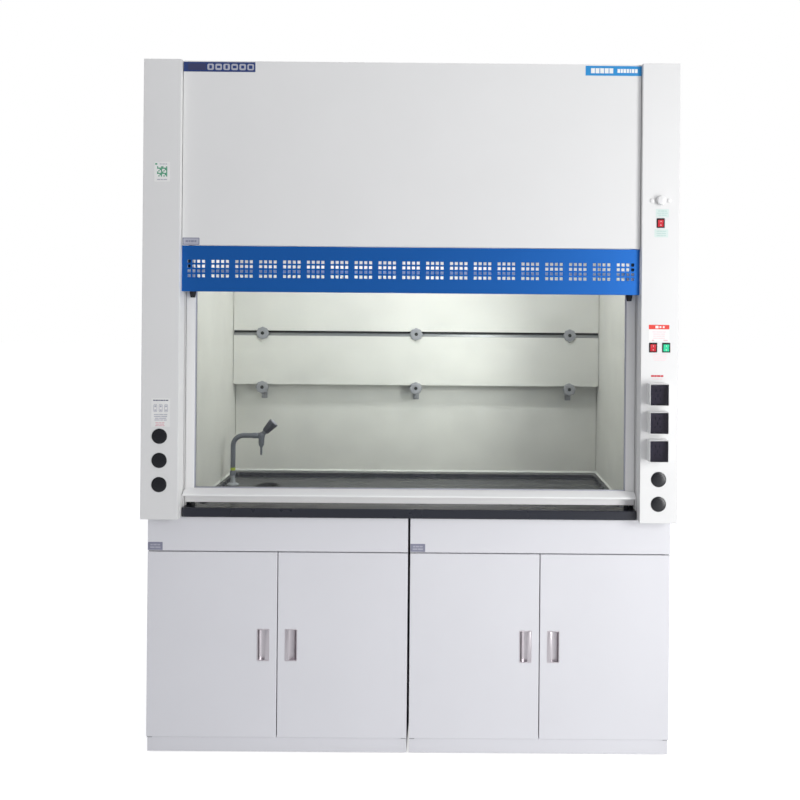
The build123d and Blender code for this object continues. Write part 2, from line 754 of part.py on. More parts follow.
def make_holder(x, z, reach, foot):
    """Baffle holder: scalloped front disc on a neck, the lower ones with a clamp foot."""
    start = baffle_deep - holder_thickness
    with BuildPart() as holder:
        with BuildSketch(facing(x, baffle_deep, z)):
            Circle(holder_radius)
            with PolarLocations(holder_radius + 4.6, 12):
                Circle(6, mode=Mode.SUBTRACT)
        extrude(amount=holder_thickness)
        fillet(holder.edges().group_by(Axis.Y)[0], 1.2)
        with BuildSketch(facing(x, baffle_deep, z)):
            Circle(holder_neck_radius)
        extrude(amount=-(reach - baffle_deep))
        if foot:
            block(x - 12, x + 12, reach - 5, reach, z - 50, z + 10)
            with BuildSketch(facing(x, reach - 5, z - 38)):
                Circle(9)
            extrude(amount=14)
        with BuildSketch(facing(x, start, z)):
            Circle(4.5)
        extrude(amount=-8, mode=Mode.SUBTRACT)
    return holder.part


# --- Exhaust and lamp ---------------------------------------------------------------
def make_spigot():
    """Exhaust spigot: a tube from the ceiling to the duct, with a roof flange and a ceiling collar."""
    inner = spigot_radius - spigot_wall
    flange_top = height + spigot_flange_thickness
    collar_low = ceiling_height + board
    collar_top = collar_low + spigot_collar_thickness
    with BuildPart() as spigot:
        with BuildSketch(upright(0, spigot_deep, 0)):
            with BuildLine():
                Polyline(
                    (inner, ceiling_height), (spigot_radius, ceiling_height),
                    (spigot_radius, collar_low), (spigot_collar_radius, collar_low),
                    (spigot_collar_radius, collar_top), (spigot_radius, collar_top),
                    (spigot_radius, height), (spigot_flange_radius, height),
                    (spigot_flange_radius, flange_top), (spigot_radius, flange_top),
                    (spigot_radius, flange_top + spigot_length), (inner, flange_top + spigot_length),
                    (inner, ceiling_height),
                )
            make_face()
        revolve(axis=Axis((0, deep(spigot_deep), 0), (0, 0, 1)))
    return spigot.part


def make_cable_gland():
    """Mains cable gland in the roof: hexagon body and cap above, locknut below."""
    with BuildPart() as gland:
        for bottom, top, across in (
            (height, height + 8, 17.0), (height + 8, height + 26, 15.0),
            (height - sheet - 6, height - sheet, 17.0),
        ):
            with BuildSketch(Plane.XY.offset(bottom)):
                with Locations((gland_x, deep(gland_deep))):
                    RegularPolygon(across, 6, major_radius=False)
            extrude(amount=top - bottom)
        with BuildSketch(Plane.XY.offset(height - sheet - 10)):
            with Locations((gland_x, deep(gland_deep))):
                Circle(gland_thread_radius)
        extrude(amount=sheet + 10)
        with BuildSketch(Plane.XY.offset(height + 26)):
            with Locations((gland_x, deep(gland_deep))):
                Circle(gland_bore_radius)
        extrude(amount=-sheet - 36, mode=Mode.SUBTRACT)
    return gland.part


def make_lamp_housing():
    """Lamp trough above the ceiling, open downwards."""
    half_length, half_width = lamp_length / 2 + fold, lamp_width / 2 + fold
    bottom = ceiling_height + board
    with BuildPart() as housing:
        block(
            -half_length, half_length, lamp_deep - half_width, lamp_deep + half_width,
            bottom, bottom + lamp_height,
        )
        block(
            -half_length + sheet, half_length - sheet,
            lamp_deep - half_width + sheet, lamp_deep + half_width - sheet,
            bottom, bottom + lamp_height - sheet, mode=Mode.SUBTRACT,
        )
    return housing.part


def make_lamp_tubes():
    """Two lamp tubes with end caps, side by side under the trough."""
    tubes = []
    for offset in (-lamp_width / 4, lamp_width / 4):
        centre = Vector(-lamp_tube_length / 2, deep(lamp_deep + offset), ceiling_height + board + 38)
        with BuildPart() as tube:
            with BuildSketch(Plane(origin=centre, x_dir=(0, 1, 0), z_dir=(1, 0, 0))):
                Circle(lamp_tube_radius)
            extrude(amount=lamp_tube_length)
            fillet(tube.edges().filter_by(GeomType.CIRCLE), 3)
        tubes.append(tube.part.solid())
    return Compound(tubes)


# --- Sash ---------------------------------------------------------------------------
def make_track(side):
    """Sash guide: aluminium channel whose slot faces the sash."""
    near, far = sash_half_width + track_gap, sash_half_width + track_gap + track_width
    centre = glass_deep
    with BuildPart() as track:
        low, high = sorted((side * near, side * far))
        block(low, high, centre - track_depth / 2, centre + track_depth / 2, casing_bottom, track_top)
        low, high = sorted((side * (near + track_wall), side * (far - track_wall)))
        block(
            low, high, centre - track_depth / 2 + track_wall, centre + track_depth / 2 - track_wall,
            casing_bottom, track_top, mode=Mode.SUBTRACT,
        )
        low, high = sorted((side * near, side * (near + track_wall)))
        block(
            low, high, centre - track_slot / 2, centre + track_slot / 2,
            casing_bottom, track_top, mode=Mode.SUBTRACT,
        )
    return track.part


def make_stile(side):
    """Sash stile: glass groove inside, guide tongue outside, and the lug that takes the cable."""
    inner, outer = sash_half_width - stile_width, sash_half_width
    groove = glass_thickness / 2 + glass_clearance
    with BuildPart() as stile:
        low, high = sorted((side * inner, side * outer))
        block(low, high, sash_deep, sash_deep + sash_frame_depth, rail_top, sash_top)
        fillet(stile.edges().filter_by(Axis.Z).group_by(Axis.Y)[0], 1.5)
        low, high = sorted((side * outer, side * (outer + tongue_width)))
        half_tongue = tongue_thickness / 2
        block(low, high, glass_deep - half_tongue, glass_deep + half_tongue, rail_top, sash_top)
        low, high = sorted((side * inner, side * (inner + glass_engagement + 0.5)))
        block(
            low, high, glass_deep - groove, glass_deep + groove, rail_top, sash_top,
            mode=Mode.SUBTRACT,
        )
        pad_back = cable_deep - lug_thickness / 2
        low, high = sorted((side * (inner + 4), side * (outer - 1)))
        block(low, high, sash_deep + sash_frame_depth, pad_back, lug_bottom, lug_bottom + lug_height)
        low, high = sorted((side * (inner + 4), side * (cable_x + 10)))
        block(low, high, pad_back, pad_back + lug_thickness, lug_bottom, lug_bottom + lug_height)
    return stile.part


def make_sash_head():
    """Slim channel over the glass's upper edge."""
    inner = sash_half_width - stile_width
    groove = glass_thickness / 2 + glass_clearance
    with BuildPart() as head:
        block(-inner, inner, glass_deep - 6, glass_deep + 6, sash_top - 14, sash_top)
        block(
            -inner, inner, glass_deep - groove, glass_deep + groove,
            sash_top - 14, sash_top - 5, mode=Mode.SUBTRACT,
        )
    return head.part


def make_sash_handle():
    """Full-width bottom rail: glass groove on top, sloping grip with a turned-down edge in front."""
    groove = glass_thickness / 2 + glass_clearance
    back = sash_deep + sash_frame_depth
    grip_front = sash_deep - grip_reach
    grip_height = rail_top - grip_drop
    with BuildPart() as handle:
        with BuildSketch(side_section(-sash_half_width)):
            with BuildLine():
                Polyline(
                    (sash_deep, sash_bottom), (back, sash_bottom), (back, rail_top),
                    (glass_deep + groove, rail_top), (glass_deep + groove, glass_bottom),
                    (glass_deep - groove, glass_bottom), (glass_deep - groove, rail_top),
                    (sash_deep, rail_top), (grip_front, grip_height),
                    (grip_front, grip_height - grip_turn_down),
                    (grip_front + grip_thickness, grip_height - grip_turn_down),
                    (grip_front + grip_thickness, grip_height - grip_thickness + 1.5),
                    (sash_deep, rail_top - grip_thickness), (sash_deep, sash_bottom),
                )
            make_face()
        extrude(amount=2 * sash_half_width)
        rounded = handle.edges().filter_by(Axis.X).group_by(Axis.Y)[0]
        fillet(rounded, 1.2)
    return handle.part


def make_bumper(x, distance, z_low, z_high, radius_low, radius_high):
    """Tapered rubber stop."""
    with BuildPart() as bumper:
        with BuildSketch(Plane.XY.offset(z_low)):
            with Locations((x, deep(distance))):
                Circle(radius_low)
        with BuildSketch(Plane.XY.offset(z_high)):
            with Locations((x, deep(distance))):
                Circle(radius_high)
        loft()
    return bumper.part


# --- Sash balance -------------------------------------------------------------------
def make_pulley(side):
    """Grooved cable pulley, turning on its fixed axle."""
    x = side * cable_x
    root = pulley_radius - cable_radius - 0.1
    rim = pulley_radius + pulley_flange
    half = pulley_width / 2
    with BuildPart() as pulley:
        with BuildSketch(upright(x, pulley_deep, pulley_height)):
            with BuildLine():
                Polyline(
                    (-half, axle_radius + axle_clearance), (half, axle_radius + axle_clearance),
                    (half, 14), (4, 14), (4, root - 8), (half, root - 4), (half, rim),
                    (half - 2, rim), (cable_radius + 0.3, root), (-cable_radius - 0.3, root),
                    (2 - half, rim), (-half, rim), (-half, root - 4), (-4, root - 8),
                    (-4, 14), (-half, 14), (-half, axle_radius + axle_clearance),
                )
            make_face()
        revolve(axis=Axis((x, deep(pulley_deep), pulley_height), (1, 0, 0)))
        with BuildSketch(crosswise(x - 4, pulley_deep, pulley_height)):
            with PolarLocations(27, 6):
                Circle(7)
        extrude(amount=8, mode=Mode.SUBTRACT)
    return pulley.part


def make_pulley_bracket(side):
    """Two cheeks and a top plate that carry the pulley's axle."""
    x = side * cable_x
    cheek = pulley_width / 2 + 1
    plate_low = pulley_height + pulley_radius + pulley_flange + 1.5
    with BuildPart() as bracket:
        for low, high in ((x - cheek - 3, x - cheek), (x + cheek, x + cheek + 3)):
            block(low, high, pulley_deep - 16, pulley_deep + 16, pulley_height - 14, plate_low)
        flange_face = width / 2 - fold - panel_gap - frame_thickness
        far_low, far_high = sorted((side * (cable_x - cheek - 3), side * flange_face))
        block(far_low, far_high, pulley_deep - 16, pulley_deep + 16, plate_low, plate_low + 3)
        with BuildSketch(crosswise(x - cheek, pulley_deep, pulley_height)):
            Circle(axle_radius)
        extrude(amount=2 * cheek)
    return bracket.part


def make_cable(side):
    """Steel cable from the sash lug, over the pulley, down to the weight's eye."""
    x = side * cable_x
    with BuildPart() as cable:
        with BuildLine() as route:
            Line((x, deep(cable_deep), lug_bottom + lug_height), (x, deep(cable_deep), pulley_height))
            ThreePointArc(
                (x, deep(cable_deep), pulley_height),
                (x, deep(pulley_deep), pulley_height + pulley_radius),
                (x, deep(weight_deep), pulley_height),
            )
            Line((x, deep(weight_deep), pulley_height), (x, deep(weight_deep), weight_top + weight_eye))
        with BuildSketch(Plane.XY.offset(lug_bottom + lug_height)):
            with Locations((x, deep(cable_deep))):
                Circle(cable_radius)
        sweep(path=route.line)
    return cable.part


def make_weight(side, weight_height):
    """Balance weight: a steel bar with an eye stud."""
    x = side * cable_x
    with BuildPart() as weight:
        block(
            x - weight_width / 2, x + weight_width / 2,
            weight_deep - weight_depth / 2, weight_deep + weight_depth / 2,
            weight_top - weight_height, weight_top,
        )
        chamfer(weight.edges().filter_by(Axis.Z), 4)
        with BuildSketch(Plane.XY.offset(weight_top)):
            with Locations((x, deep(weight_deep))):
                Circle(5)
        extrude(amount=weight_eye)
    return weight.part


def make_frame():
    """Steel angles inside the casing: posts, rails along the sides and cross rails."""
    bars = []
    outer = width / 2 - fold - panel_gap
    inner = outer - frame_leg
    post_places = (fold + 2 * panel_gap + sheet, depth - fold - frame_leg - 2 * panel_gap)
    rail_z = (casing_bottom - casing_clearance, height - fold - frame_leg - panel_gap)
    post_low, post_high = rail_z[0] + frame_leg, rail_z[1]
    for side in (-1, 1):
        for start in post_places:
            with BuildPart() as post:
                low, high = sorted((side * inner, side * outer))
                block(low, high, start, start + frame_leg, post_low, post_high)
                low, high = sorted((side * inner, side * (outer - frame_thickness)))
                block(
                    low, high, start + frame_thickness, start + frame_leg,
                    post_low, post_high, mode=Mode.SUBTRACT,
                )
            bars.append(post.part.solid())
        for bottom in rail_z:
            with BuildPart() as rail:
                low, high = sorted((side * inner, side * outer))
                block(low, high, post_places[0], post_places[1] + frame_leg, bottom, bottom + frame_leg)
                low, high = sorted((side * inner, side * (outer - frame_thickness)))
                block(
                    low, high, post_places[0], post_places[1] + frame_leg,
                    bottom + frame_thickness, bottom + frame_leg, mode=Mode.SUBTRACT,
                )
            bars.append(rail.part.solid())
    for start in (fascia_setback + fold + 3 * panel_gap, post_places[1]):
        with BuildPart() as cross:
            bottom = rail_z[1]
            block(-inner, inner, start, start + frame_leg, bottom, bottom + frame_leg)
            block(
                -inner, inner, start + frame_thickness, start + frame_leg,
                bottom, bottom + frame_leg - frame_thickness, mode=Mode.SUBTRACT,
            )
        bars.append(cross.part.solid())
    return bars


# --- Controls -----------------------------------------------------------------------
def make_bezel(x, z):
    """Rocker switch body with its front rim and the pocket for the rocker."""
    rim_width, rim_height = bezel_width - 2 * bezel_rim, bezel_height - 2 * bezel_rim
    with BuildPart() as bezel:
        with BuildSketch(facing(x, 0, z)):
            RectangleRounded(bezel_width, bezel_height, 1.5)
        extrude(amount=bezel_proud)
        fillet(bezel.edges().group_by(Axis.Y)[0], 0.6)
        block(
            x - bezel_width / 2 + 2, x + bezel_width / 2 - 2, 0, switch_depth,
            z - bezel_height / 2 + 2, z + bezel_height / 2 - 2,
        )
        block(
            x - rim_width / 2, x + rim_width / 2, -bezel_proud, switch_depth - 6,
            z - rim_height / 2, z + rim_height / 2, mode=Mode.SUBTRACT,
        )
        with BuildSketch(crosswise(x - rim_width / 2, rocker_pivot, z)):
            Circle(1.5)
        extrude(amount=rim_width)
    return bezel.part


def make_rocker(x, z):
    """Rocker with a shallow V front, drawn tipped to one side about its pivot pin."""
    half_width = bezel_width / 2 - bezel_rim - rocker_gap_side
    half_height = bezel_height / 2 - bezel_rim - rocker_gap_end
    tilt = radians(rocker_tilt)
    section = Plane(
        origin=(x - half_width, deep(rocker_pivot), z),
        x_dir=(0, cos(tilt), sin(tilt)),
        z_dir=(1, 0, 0),
    )
    with BuildPart() as rocker:
        with BuildSketch(section):
            with BuildLine():
                Polyline(
                    (-7.5, -half_height), (-5.5, 0), (-7.5, half_height), (-1, half_height),
                    (3.5, 4), (3.5, -4), (-1, -half_height), (-7.5, -half_height),
                )
            make_face()
            Circle(1.5 + axle_clearance, mode=Mode.SUBTRACT)
        extrude(amount=2 * half_width)
    return rocker.part


def make_speed_knob():
    """Fan speed knob with a pointer rib, on a shaft through the column."""
    with BuildPart() as knob:
        with BuildSketch(facing(knob_x, -1.5, knob_height)):
            Circle(knob_radius)
        extrude(amount=knob_length, taper=4)
        fillet(knob.edges().group_by(Axis.Y)[0], 2)
        block(
            knob_x - 1.2, knob_x + 1.2, -1.5 - knob_length - 1, -knob_length,
            knob_height + 2, knob_height + knob_radius - 3.5,
        )
        with BuildSketch(facing(knob_x, -1.5, knob_height)):
            Circle(knob_shaft_radius)
        extrude(amount=-20)
    return knob.part


def make_knob_fittings():
    """Bush of the speed knob and the two domed fixing caps beside it."""
    pieces = []
    with BuildPart() as bush:
        with BuildSketch(facing(knob_x, -1.0, knob_height)):
            Circle(8)
            Circle(knob_shaft_radius + axle_clearance, mode=Mode.SUBTRACT)
        extrude(amount=-1)
        with BuildSketch(facing(knob_x, 0, knob_height)):
            Circle(5)
            Circle(knob_shaft_radius + axle_clearance, mode=Mode.SUBTRACT)
        extrude(amount=-12)
    pieces.append(bush.part.solid())
    for offset in (-knob_stud_spacing, knob_stud_spacing):
        with BuildPart() as cap:
            with BuildSketch(facing(knob_x + offset, 0, knob_height)):
                Circle(7.5)
            extrude(amount=5)
            fillet(cap.edges().group_by(Axis.Y)[0], 3)
        pieces.append(cap.part.solid())
    return pieces


def make_socket_box(z):
    """Splash-proof socket box: walls, recessed socket face with its slots, and hinge holes."""
    half_width, half_height = socket_width / 2, socket_height / 2
    axis_z = z + half_height - socket_wall - cover_axis_drop
    axis_deep = -socket_projection + cover_thickness / 2 + 0.5
    face_deep = -socket_projection + socket_face_depth
    with BuildPart() as box:
        with BuildSketch(facing(socket_x, 0, z)):
            RectangleRounded(socket_width, socket_height, 3)
        extrude(amount=socket_projection)
        block(
            socket_x - half_width + socket_wall, socket_x + half_width - socket_wall,
            -socket_projection, face_deep,
            z - half_height + socket_wall, z + half_height - socket_wall, mode=Mode.SUBTRACT,
        )
        block(
            socket_x - half_width + 5, socket_x + half_width - 5, 0, 16,
            z - half_height + 5, z + half_height - 5,
        )
        with BuildSketch(facing(socket_x, face_deep, z)):
            with Locations((-7, 13), (7, 13)):
                Rectangle(2.4, 8)
            with Locations((0, -4)):
                Rectangle(2.4, 9)
            with Locations((-8, -15)):
                Rectangle(2.4, 8, rotation=30)
            with Locations((8, -15)):
                Rectangle(2.4, 8, rotation=-30)
        extrude(amount=-12, mode=Mode.SUBTRACT)
        pin_half = half_width - socket_wall + cover_pin_length
        with BuildSketch(crosswise(socket_x - pin_half, axis_deep, axis_z)):
            Circle(cover_pin_radius + axle_clearance)
        extrude(amount=2 * pin_half, mode=Mode.SUBTRACT)
    return box.part


def make_socket_cover(z):
    """Smoked flip cover on two trunnions, with a finger tab at its lower edge."""
    half_width, half_height = socket_width / 2, socket_height / 2
    axis_z = z + half_height - socket_wall - cover_axis_drop
    axis_deep = -socket_projection + cover_thickness / 2 + 0.5
    cover_half = half_width - socket_wall - cover_clearance
    cover_low, cover_deep = z - half_height + socket_wall + cover_clearance, -socket_projection + 0.5
    with BuildPart() as cover:
        block(
            socket_x - cover_half, socket_x + cover_half, cover_deep, cover_deep + cover_thickness,
            cover_low, axis_z + 2.5,
        )
        upper_edges = cover.edges().filter_by(Axis.X).group_by(Axis.Z)[-1]
        fillet(upper_edges, 1.8)
        block(
            socket_x - 9, socket_x + 9, cover_deep + cover_thickness, cover_deep + cover_thickness + 5,
            cover_low + 1, cover_low + 3,
        )
        pin_half = half_width - socket_wall + cover_pin_length - 0.2
        with BuildSketch(crosswise(socket_x - pin_half, axis_deep, axis_z)):
            Circle(cover_pin_radius)
        extrude(amount=2 * pin_half)
    return cover.part


def make_plug(x, z):
    """Domed blanking plug with its snap skirt."""
    with BuildPart() as plug:
        with BuildSketch(facing(x, 0, z)):
            Circle(plug_radius)
        extrude(amount=plug_thickness)
        fillet(plug.edges().group_by(Axis.Y)[0], 2.4)
        with BuildSketch(facing(x, 0, z)):
            Circle(plug_hole_radius - 0.3)
            Circle(plug_hole_radius - 2.3, mode=Mode.SUBTRACT)
        extrude(amount=-12)
    return plug.part


# --- Build and write every piece ----------------------------------------------------
os.makedirs("parts", exist_ok=True)

for word, centre in (("left", -cabinet_centre), ("right", cabinet_centre)):
    save(make_carcass(centre), f"cabinet_{word}_carcass")
aprons, plinths, shelves, feet, pivots = [], [], [], [], []
for centre in (-cabinet_centre, cabinet_centre):
    left, right = centre - cabinet_width / 2, centre + cabinet_width / 2
    apron_low = cabinet_height - apron_height
    aprons.append(make_tray(left, right, door_setback, apron_low, cabinet_height - 0.5).solid())
    plinth_start = door_setback + plinth_recess
    plinth = make_tray(
        left, right, plinth_start, floor_gap, deck_height - plinth_gap, carcass_front - plinth_start
    )
    plinths.append(plinth.solid())
    shelves.append(make_shelf(centre).solid())
    for x in (left + 45, right - 45):
        for distance in (carcass_front + 45, depth - 45):
            feet.append(make_foot(x, deep(distance)).solid())
save(Compound(aprons), "cabinet_aprons")
save(Compound(plinths), "cabinet_plinths")
save(Compound(shelves), "cabinet_shelves")
save(Compound(feet), "levelling_feet")

door_starts = {
    "left_outer": (-cabinet_centre - cabinet_width / 2, -1),
    "left_inner": (-cabinet_centre + door_gap / 2, 1),
    "right_inner": (cabinet_centre - cabinet_width / 2, -1),
    "right_outer": (cabinet_centre + door_gap / 2, 1),
}
for word, (x_low, hinge_side) in door_starts.items():
    door, pull, hinge_x = make_door(x_low, hinge_side)
    save(door, f"door_{word}")
    save(pull, f"door_{word}_pull")
    pivots += [piece.solid() for piece in make_pivots(hinge_x, hinge_side)]
    print(f"door_{word} hinge axis at x {hinge_x:.2f}, y {deep(door_setback + pivot_face):.2f}")
save(Compound(pivots), "door_pivots")

save(make_worktop(), "worktop")
save(make_cup_sink(), "cup_sink")
save(make_tap_flange(), "tap_flange")
save(make_tap_neck(), "tap_neck")
save(make_tap_knob(), "tap_knob")

left_cut_outs = [("round", -column_centre, z, plug_hole_radius) for z in left_plug_heights]
right_cut_outs = [("round", column_centre, z, plug_hole_radius) for z in right_plug_heights]
right_cut_outs.append(("round", knob_x, knob_height, 5 + 0.2))
right_cut_outs += [
    ("square", x, z, (bezel_width - 4 + 2 * switch_clearance, bezel_height - 4 + 2 * switch_clearance))
    for x, z in rocker_places.values()
]
right_cut_outs += [
    ("square", socket_x, z, (socket_width - 10 + 0.6, socket_height - 10 + 0.6)) for z in socket_heights
]
save(make_column(-1, left_cut_outs), "column_left")
save(make_column(1, right_cut_outs), "column_right")
save(make_side_panel(-1), "side_panel_left")
save(make_side_panel(1), "side_panel_right")
front_cover = make_tray(-fascia_half_width, fascia_half_width, fascia_setback, cover_bottom, height)
save(front_cover, "front_cover")
save(make_grille(), "bypass_grille")
save(make_roof(), "roof_panel")
save(make_back_panel(), "back_panel")

linings = []
for side in (-1, 1):
    low, high = sorted((side * lining_half_width, side * (lining_half_width + board)))
    with BuildPart() as lining:
        block(low, high, lining_front, worktop_back, worktop_top, ceiling_height)
    linings.append(lining.part.solid())
with BuildPart() as liner_back:
    block(-lining_half_width, lining_half_width, lining_back, worktop_back, worktop_top, ceiling_height)
save(Compound(linings + [liner_back.part.solid()]), "liner_walls")
save(make_ceiling(), "liner_ceiling")
save(make_top_baffle(), "baffle_top")
baffle_half = lining_half_width - baffle_side_gap
with BuildPart() as baffle_middle:
    block(
        -baffle_half, baffle_half, baffle_deep, baffle_deep + baffle_board,
        middle_baffle_bottom, middle_baffle_top,
    )
save(baffle_middle.part, "baffle_middle")
with BuildPart() as baffle_bottom:
    block(
        -baffle_half, baffle_half, lower_baffle_deep, lower_baffle_deep + baffle_board,
        worktop_top + 1, middle_baffle_bottom + baffle_overlap,
    )
save(baffle_bottom.part, "baffle_bottom")
holders = []
for x in (-holder_spacing, 0, holder_spacing):
    holders.append(make_holder(x, middle_baffle_top + baffle_slot / 2, lining_back, False).solid())
    holders.append(make_holder(x, middle_baffle_bottom - holder_drop, lower_baffle_deep, True).solid())
save(Compound(holders), "baffle_holders")

save(make_spigot(), "exhaust_spigot")
save(make_cable_gland(), "cable_gland")
save(make_lamp_housing(), "lamp_housing")
with BuildPart() as lamp_window:
    half_length, half_width = lamp_length / 2 - lamp_clearance, lamp_width / 2 - lamp_clearance
    block(
        -half_length, half_length, lamp_deep - half_width, lamp_deep + half_width,
        ceiling_height, ceiling_height + lamp_glass_thickness,
    )
save(lamp_window.part, "lamp_window")
save(make_lamp_tubes(), "lamp_tubes")

save(Compound([make_track(side).solid() for side in (-1, 1)]), "sash_tracks")
with BuildPart() as sash_glass:
    glass_half = sash_half_width - stile_width + glass_engagement
    block(
        -glass_half, glass_half, glass_deep - glass_thickness / 2, glass_deep + glass_thickness / 2,
        glass_bottom, sash_top - 5.5,
    )
save(sash_glass.part, "sash_glass")
sash_frame = Compound([make_stile(-1).solid(), make_stile(1).solid(), make_sash_head().solid()])
save(sash_frame, "sash_frame")
sash_handle = make_sash_handle()
save(sash_handle, "sash_handle")
bumper_x = sash_half_width - stile_width / 2 - bumper_radius - 1
upper_bumper_low = grille_bottom - upper_bumper_height
bumpers = []
for side in (-1, 1):
    x = side * bumper_x
    lower = (x, sash_deep + 8, worktop_top, sash_bottom, bumper_radius, bumper_radius - 2)
    upper_deep = sash_deep - bumper_radius - 4
    upper = (x, upper_deep, upper_bumper_low, grille_bottom, bumper_radius - 1.5, bumper_radius + 2)
    bumpers += [make_bumper(*lower).solid(), make_bumper(*upper).solid()]
save(Compound(bumpers), "sash_bumpers")

sash_mass = (
    sash_glass.part.volume * glass_density
    + (sash_frame.volume + sash_handle.volume) * aluminium_density
)
weight_height = sash_mass / 2 / steel_density / (weight_width * weight_depth)
print(f"sash {sash_mass:.2f} kg, weights {weight_height:.1f} mm high")
for word, side in (("left", -1), ("right", 1)):
    save(make_weight(side, weight_height), f"counterweight_{word}")
    save(make_pulley(side), f"pulley_{word}")
save(Compound([make_cable(side).solid() for side in (-1, 1)]), "sash_cables")
brackets = [make_pulley_bracket(side).solid() for side in (-1, 1)]
save(Compound(make_frame() + brackets), "upper_frame")

bezels = [make_bezel(x, z).solid() for x, z in rocker_places.values()]
save(Compound(bezels + make_knob_fittings()), "control_bezels")
for name, (x, z) in rocker_places.items():
    save(make_rocker(x, z), name)
save(make_speed_knob(), "speed_knob")
save(Compound([make_socket_box(z).solid() for z in socket_heights]), "socket_boxes")
for word, z in zip(("top", "middle", "bottom"), socket_heights):
    save(make_socket_cover(z), f"socket_cover_{word}")
plugs = [make_plug(-column_centre, z).solid() for z in left_plug_heights]
plugs += [make_plug(column_centre, z).solid() for z in right_plug_heights]
save(Compound(plugs), "service_plugs")
print(f"pulley turns {sash_travel / pulley_radius * 180 / pi:.1f} degrees over the sash's travel")
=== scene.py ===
# %% [markdown]
# # A laboratory fume hood
# The hood is a steel casing over two cupboards. A glass sash slides up and down in front of a lined chamber
# with a black worktop. The CAD model already holds every panel, hole and moving piece in its true place.
# This lesson gives those pieces their finishes, and rebuilds the small ones that the eye goes to, such as
# the tap, the switches and the door pulls, with rounded edges and fine parts. Lengths are in metres.

import json
from math import cos, pi, radians, sin

import bmesh
import bpy
from mathutils import Matrix, Vector


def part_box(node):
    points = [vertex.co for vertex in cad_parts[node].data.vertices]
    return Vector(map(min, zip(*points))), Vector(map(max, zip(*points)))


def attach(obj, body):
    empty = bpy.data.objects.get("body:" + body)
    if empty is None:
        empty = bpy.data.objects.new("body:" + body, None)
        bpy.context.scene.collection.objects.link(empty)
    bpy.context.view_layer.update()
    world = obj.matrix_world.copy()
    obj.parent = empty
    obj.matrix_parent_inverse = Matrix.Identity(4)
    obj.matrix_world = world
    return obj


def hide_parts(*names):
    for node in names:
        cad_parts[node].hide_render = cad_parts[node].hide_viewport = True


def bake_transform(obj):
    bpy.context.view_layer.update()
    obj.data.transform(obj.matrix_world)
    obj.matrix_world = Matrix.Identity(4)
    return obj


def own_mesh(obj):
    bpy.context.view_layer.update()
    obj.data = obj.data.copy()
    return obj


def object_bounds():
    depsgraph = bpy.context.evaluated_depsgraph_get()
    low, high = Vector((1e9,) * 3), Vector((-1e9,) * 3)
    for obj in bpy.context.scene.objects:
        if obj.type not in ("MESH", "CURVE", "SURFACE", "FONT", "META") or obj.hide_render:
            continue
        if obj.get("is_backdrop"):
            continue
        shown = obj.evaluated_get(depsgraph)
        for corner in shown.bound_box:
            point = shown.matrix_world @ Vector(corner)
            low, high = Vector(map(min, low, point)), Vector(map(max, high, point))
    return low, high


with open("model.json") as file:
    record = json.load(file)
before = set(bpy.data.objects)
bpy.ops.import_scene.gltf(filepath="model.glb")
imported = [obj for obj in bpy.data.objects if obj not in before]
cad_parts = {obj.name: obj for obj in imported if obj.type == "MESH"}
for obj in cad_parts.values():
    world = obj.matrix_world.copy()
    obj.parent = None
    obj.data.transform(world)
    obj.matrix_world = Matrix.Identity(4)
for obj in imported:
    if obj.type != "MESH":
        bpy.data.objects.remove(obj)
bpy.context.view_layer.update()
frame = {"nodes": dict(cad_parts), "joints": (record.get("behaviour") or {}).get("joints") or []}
nodes = frame["nodes"]
MM = 0.001
UP, DOWN = (0, 0, 1), (0, 0, -1)
TO_FRONT, TO_BACK = (0, -1, 0), (0, 1, 0)

# %% [markdown]
# ## Joints
# Some pieces are drawn round the pivot that they turn on, so the joints are looked up by name.

# %% Joints by name
def joint(name):
    return next(j for j in frame["joints"] if j["name"] == name)


print("the sash slides", round(joint("sash_slide")["range_m"][1], 3), "m")

# %% [markdown]
# ## Tools for materials
# Colours are written as the hex codes that a paint chart or a screen shows. Blender's shaders work in
# linear light, so one function converts them. A second function adds a shader node with its settings, its
# socket values and its links in one line, which keeps each recipe short enough to read.

# %% Colour and node helpers
def linear(code):
    """A screen colour such as 'c8cac2' as the linear red, green, blue and alpha that shaders take."""
    channels = [int(code[i : i + 2], 16) / 255 for i in (0, 2, 4)]
    return [c / 12.92 if c <= 0.04045 else ((c + 0.055) / 1.055) ** 2.4 for c in channels] + [1.0]


def add(tree, kind, values=None, links=None, **settings):
    """One shader node: its own settings, the values of its sockets, and the outputs linked into it."""
    made = tree.nodes.new(kind)
    for key, value in settings.items():
        setattr(made, key, value)
    for socket, value in (values or {}).items():
        made.inputs[socket].default_value = value
    for socket, source in (links or {}).items():
        tree.links.new(source, made.inputs[socket])
    return made


def blank(name):
    """A new material with only its output, and the coordinates that every pattern is measured in: metres."""
    material = bpy.data.materials.new(name)
    material.use_nodes = True
    tree = material.node_tree
    tree.nodes.clear()
    output = add(tree, "ShaderNodeOutputMaterial")
    metres = add(tree, "ShaderNodeTexCoord").outputs["Object"]
    return material, tree, output, metres


print("linear mid grey:", [round(c, 3) for c in linear("808080")[:3]])

# %% [markdown]
# ## Powder-coated sheet steel
# Most of the casing is folded steel with an epoxy-polyester powder coat. The powder melts and flows in an
# oven, which leaves a very fine orange-peel ripple and a satin gloss. A noise of about 2 mm drives the
# ripple, a much larger one makes the gloss a little uneven, as on a panel that has been wiped. Folded sheet
# has no knife edge, so the Bevel node rounds the shading of every corner by the thickness of the sheet. The
# blue coat of the grille has metal flakes in it, so it turns from deep to bright blue along its length.

